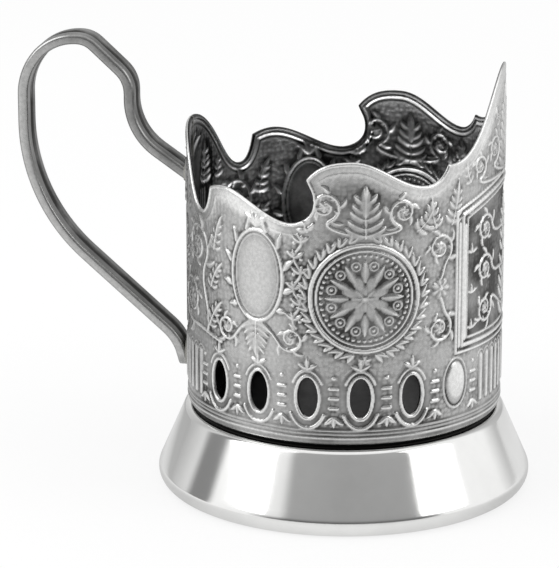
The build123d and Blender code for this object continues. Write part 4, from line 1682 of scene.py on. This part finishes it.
def strip_section(width, thickness):
    """Section of the strip: a rounded bar with a shallow round flute along each broad face. Returned as its
    width and thickness offsets and, for each point, how dark it is, most in the flutes and on the face
    inside the loop, where the darkness is painted shade, and how far it is on a narrow side."""
    half, deep = width / 2, thickness / 2
    flute_half = FLUTE_WIDTH / 2
    drop = math.sqrt(FLUTE_RADIUS**2 - flute_half**2)
    flute_turn = math.asin(flute_half / FLUTE_RADIUS)
    quarter = math.pi / 2
    right = arc((half - STRIP_EDGE, deep - STRIP_EDGE), STRIP_EDGE, 0.0, quarter, 7)
    flute = arc((0.0, deep + drop), FLUTE_RADIUS, -quarter + flute_turn, -quarter - flute_turn, 13)
    left = arc((STRIP_EDGE - half, deep - STRIP_EDGE), STRIP_EDGE, quarter, math.pi, 7)
    upper = np.concatenate([right, flute, left])
    points = np.concatenate([upper, -upper])
    depth = np.clip((deep - np.abs(points[:, 1])) / (FLUTE_RADIUS - drop), 0, 1)
    broad = np.clip((half - np.abs(points[:, 0])) / STRIP_EDGE, 0, 1)
    in_flute = np.abs(points[:, 0]) <= flute_half + 0.01
    face = np.where(points[:, 1] > 0, INNER_FACE_PAINTED_SHADE, OUTER_FACE_DARK)
    return points, face * broad + FLUTE_DARK * depth * in_flute, 1 - broad


class HOLDER_OT_handle(Operator):
    """Builds the bent, fluted handle strip"""

    bl_idname = "holder.handle"
    bl_label = "Handle"

    def execute(self, context):
        size = sizes()
        line, run = strip_path()
        section, depth, narrow = strip_section(size["strip_width"], size["strip_thickness"])
        tongue = size["strip_width"] / 2
        start = np.concatenate([tongue * (1 - np.cos(np.linspace(0.12, math.pi / 2, 14))), [tongue]])
        run_line = np.concatenate([start[:-1], run[run > tongue]])
        line = along_line(run_line, run, line)
        clear = (line[:, 0] > WALL + STRIP_END_CLEAR) | (run_line < run[-1] / 2)
        clear[-1] = True
        line, run_line = line[clear], run_line[clear]
        along = np.gradient(line, axis=0)
        along /= np.linalg.norm(along, axis=1)[:, None]
        normal = np.stack([-along[:, 1], along[:, 0]], axis=1)
        taper = np.sqrt(np.clip(1 - (1 - run_line / tongue) ** 2, 0, 1))
        taper = np.where(run_line < tongue, taper, 1.0)[:, None]
        reach_out = line[:, :1] + normal[:, :1] * section[:, 1]
        height = line[:, 1:] + normal[:, 1:] * section[:, 1]
        width = taper * section[:, 0]
        hold = np.sqrt((WALL - STRIP_END_SINK) ** 2 - width[-1] ** 2)
        slide = (reach_out[-1] - hold) / along[-1, 0]
        reach_out[-1] -= slide * along[-1, 0]
        height[-1] -= slide * along[-1, 1]
        points = np.stack([-reach_out, width, height], axis=-1).reshape(-1, 3)
        rings, around = len(line), len(section)
        quads = ring_quads(rings, around, False)
        ends = [points[:around].mean(axis=0), points[-around:].mean(axis=0)]
        step = np.arange(around)
        after = (step + 1) % around
        last = (rings - 1) * around
        fans = [
            np.stack([after, step, np.full(around, len(points))], axis=1),
            np.stack([last + step, last + after, np.full(around, len(points) + 1)], axis=1),
        ]
        points = np.concatenate([points, ends])
        faces = outward(points, [quads, *fans])
        piece = make_piece("handle", points, faces, [bpy.data.materials["Handle strip"]])
        piece.data.set_sharp_from_angle(angle=STRIP_SHARP)
        crest = run_line[np.argmax(line[:, 1] > CREST_LEVEL)]
        past = np.clip((run_line - crest) / CREST_RUN, 0.0, 1.0)[:, None]
        # Painted shade past the crest and a painted highlight on the narrow sides before it.
        tones = (depth + PAST_CREST_PAINTED_SHADE * past - NARROW_PAINTED_HIGHLIGHT * (1 - past) * narrow).ravel()
        set_values(piece, "hollow", np.concatenate([tones, [0.0, 0.0]]))
        add_to_object(piece, "handle_strip", slot="handle_metal")
        return {"FINISHED"}


class HOLDER_OT_brazing(Operator):
    """Gives the brazed joints their alloy"""

    bl_idname = "holder.brazing"
    bl_label = "Brazing"

    def execute(self, context):
        finishes = {
            "Braze": ("sleeve_seam_braze", "handle_upper_braze", "handle_lower_braze"),
            # These joints are painted near black, as the shade in the groove over the foot and at the floor
            # inside.
            "Blackened braze": ("floor_braze", "foot_braze"),
        }
        for finish, names in finishes.items():
            for name in names:
                for slot in frame["nodes"][name].material_slots:
                    slot.material = bpy.data.materials[finish]
        return {"FINISHED"}


def face_target(data, back, distance):
    """Puts a lamp or the camera on a line back from the target, facing it."""
    holder = bpy.data.objects.new(data.name, data)
    bpy.context.collection.objects.link(holder)
    holder.location = CAMERA_TARGET + back * distance
    holder.rotation_mode = "QUATERNION"
    holder.rotation_quaternion = (-back).to_track_quat("-Z", "Y")
    return holder


def direction(azimuth, elevation):
    """Unit vector from the object towards an azimuth, counted from straight in front, and an elevation."""
    flat = math.cos(elevation)
    return Vector((math.sin(azimuth) * flat, -math.cos(azimuth) * flat, math.sin(elevation)))


def seen_directly(tree):
    """One for rays from the camera, mirrors and glass, and zero for other rays."""
    path = tree.nodes.new("ShaderNodeLightPath")
    straight = add_math(tree, "MAXIMUM", path.outputs["Is Camera Ray"], path.outputs["Is Glossy Ray"])
    return add_math(tree, "MAXIMUM", straight, path.outputs["Is Transmission Ray"]), path


def fields_group(name, fields, camera_azimuth):
    """Grey fields round the axis: a ramp over the bearing of a vector, which is the arc tangent of its parts
    to the camera's right and towards the camera."""
    inputs = (("Vector", "NodeSocketVector", None),)
    tree, entry, leave = group_tree(name, inputs, (("Level", "NodeSocketColor"),))
    axes = (direction(camera_azimuth + math.pi / 2, 0.0), direction(camera_azimuth, 0.0))
    bearing = add_math(tree, "ARCTAN2", *[add_dot(tree, entry.outputs["Vector"], axis) for axis in axes])
    ramp = tree.nodes.new("ShaderNodeValToRGB")
    tree.links.new(add_range(tree, bearing, -math.pi, math.pi), ramp.inputs[0])
    stops = ramp.color_ramp.elements
    for _ in fields[2:]:
        stops.new(1.0)
    for stop, (degrees, level) in zip(stops, fields):
        stop.position = degrees / 360 + 0.5
        stop.color = (level, level, level, 1.0)
    tree.links.new(ramp.outputs["Color"], leave.inputs["Level"])
    return tree


class HOLDER_OT_stage(Operator):
    """Builds the floor, the light and the camera"""

    bl_idname = "holder.stage"
    bl_label = "Stage"

    def execute(self, context):
        stage = context.scene.holder_stage
        self.build_floor(tuple(stage.floor_colour), stage.camera_azimuth)
        self.build_world(context, stage.camera_azimuth)
        for name, power, side, azimuth, elevation in LAMPS:
            lamp = bpy.data.lights.new(name, "AREA")
            lamp.energy = getattr(stage, power)
            lamp.size = side
            face_target(lamp, direction(math.radians(azimuth), math.radians(elevation)), LAMP_DISTANCE)
        camera = bpy.data.cameras.new("Camera")
        camera.lens = CAMERA_LENS
        camera.sensor_width = CAMERA_SENSOR
        camera.clip_start, camera.clip_end = CAMERA_CLIP
        back = direction(stage.camera_azimuth, stage.camera_elevation)
        context.scene.camera = face_target(camera, back, stage.camera_distance)
        context.scene.view_settings.view_transform = "Standard"
        return {"FINISHED"}

    def build_floor(self, colour, camera_azimuth):
        """Flat square of floor. The camera sees it part lit and part plain white, so its shadow stays. The
        metal mirrors it grey close to the foot, paler in front, with soft fields that start a little way
        off."""
        grid = np.linspace(-FLOOR_HALF, FLOOR_HALF, 3) / MM
        x, y = np.meshgrid(grid, grid, indexing="ij")
        points = np.stack([x, y, np.zeros_like(x)], axis=-1).reshape(-1, 3)
        corner = (np.arange(2)[:, None] * 3 + np.arange(2)).ravel()
        quads = np.stack([corner, corner + 3, corner + 4, corner + 1], axis=1)
        material, tree, shader, place = principled("Stage floor")
        shader.inputs["Roughness"].default_value = 0.9
        shader.inputs["Specular IOR Level"].default_value = 0.0
        mottle = add_noise(tree, place, 3.0, 2.0)
        tint = add_range(tree, mottle, 0.3, 0.7)
        lit = add_mix(tree, tint, colour, scaled_colour(colour, 1.02))
        fields = use_group(tree, fields_group("Floor fields", FLOOR_FIELDS, camera_azimuth), Vector=place)
        away = tree.nodes.new("ShaderNodeVectorMath")
        away.operation = "LENGTH"
        tree.links.new(place, away.inputs[0])
        started = add_range(tree, away.outputs["Value"], *FLOOR_FIELDS_START)
        seen, path = seen_directly(tree)
        glow = tree.nodes.new("ShaderNodeEmission")
        plain = add_mix(tree, started, BESIDE_FLOOR, fields.outputs["Level"])
        near = add_range(tree, away.outputs["Value"], *NEAR_FLOOR_END)
        ahead = add_dot(tree, place, direction(camera_azimuth, 0.0))
        under = add_mix(tree, add_range(tree, ahead, *FRONT_FLOOR_START), NEAR_FLOOR, FRONT_FLOOR)
        shaded = add_mix(tree, near, plain, under)
        mirrored = add_mix(tree, path.outputs["Is Glossy Ray"], WHITE, shaded)
        tree.links.new(mirrored, glow.inputs["Color"])
        tree.links.new(lit, shader.inputs["Base Color"])
        mix = tree.nodes.new("ShaderNodeMixShader")
        tree.links.new(add_math(tree, "MULTIPLY", seen, FLOOR_GLOW), mix.inputs[0])
        tree.links.new(shader.outputs[0], mix.inputs[1])
        tree.links.new(glow.outputs[0], mix.inputs[2])
        tree.links.new(mix.outputs[0], tree.nodes["Material Output"].inputs["Surface"])
        floor = make_piece("Stage_floor", points, [quads], [material])

    def build_world(self, context, camera_azimuth):
        """White surroundings seen directly. The metal mirrors them with grey fields between the white ones,
        of which the front one darkens towards the horizon, and white overhead."""
        world = bpy.data.worlds.new("Studio")
        context.scene.world = world
        world.use_nodes = True
        tree = world.node_tree
        background = tree.nodes["Background"]
        place = tree.nodes.new("ShaderNodeTexCoord").outputs["Generated"]
        split = tree.nodes.new("ShaderNodeSeparateXYZ")
        tree.links.new(place, split.inputs[0])
        seen, path = seen_directly(tree)
        fields = use_group(tree, fields_group("Fields", SURROUNDINGS, camera_azimuth), Vector=place)
        ahead = add_dot(tree, place, direction(camera_azimuth, 0.0))
        front = add_range(tree, ahead, *[math.cos(math.radians(angle)) for angle in FRONT_FIELD])
        low = add_range(tree, split.outputs[2], *HORIZON_START, 0.0, HORIZON_DARK)
        dark = add_math(tree, "MULTIPLY", front, low)
        dimmed = add_mix(tree, dark, fields.outputs["Level"], HORIZON_GREY)
        overhead = add_range(tree, split.outputs[2], *OVERHEAD_START)
        around = add_mix(tree, overhead, dimmed, WHITE)
        mirrored = add_mix(tree, path.outputs["Is Glossy Ray"], WHITE, around)
        tree.links.new(add_mix(tree, seen, WORLD_LIGHT, mirrored), background.inputs["Color"])
        background.inputs["Strength"].default_value = 1.0


class HOLDER_PT_panel(Panel):
    """Sizes, finishes and the builders of each piece"""

    bl_idname = "HOLDER_PT_panel"
    bl_label = "Tea Glass Holder"
    bl_space_type = "VIEW_3D"
    bl_region_type = "UI"
    bl_category = "Glass Holder"

    def draw(self, context):
        layout = self.layout
        scene = context.scene
        for group in (scene.holder_sizes, scene.holder_finish, scene.holder_stage):
            box = layout.box()
            for name in type(group).__annotations__:
                box.prop(group, name)
        for operator in OPERATORS:
            layout.operator(operator.bl_idname)


OPERATORS = (
    HOLDER_OT_finishes,
    HOLDER_OT_sleeve,
    HOLDER_OT_foot,
    HOLDER_OT_handle,
    HOLDER_OT_brazing,
    HOLDER_OT_stage,
)
CLASSES = (HolderSizes, HolderFinish, HolderStage, *OPERATORS, HOLDER_PT_panel)


def register():
    for entry in CLASSES:
        bpy.utils.register_class(entry)
    bpy.types.Scene.holder_sizes = PointerProperty(type=HolderSizes)
    bpy.types.Scene.holder_finish = PointerProperty(type=HolderFinish)
    bpy.types.Scene.holder_stage = PointerProperty(type=HolderStage)


def unregister():
    del bpy.types.Scene.holder_stage
    del bpy.types.Scene.holder_finish
    del bpy.types.Scene.holder_sizes
    for entry in reversed(CLASSES):
        bpy.utils.unregister_class(entry)


def main():
    register()
    bpy.ops.holder.finishes()
    bpy.ops.holder.sleeve()
    bpy.ops.holder.foot()
    bpy.ops.holder.handle()
    bpy.ops.holder.brazing()
    bpy.ops.holder.stage()


if __name__ == "__main__":
    main()
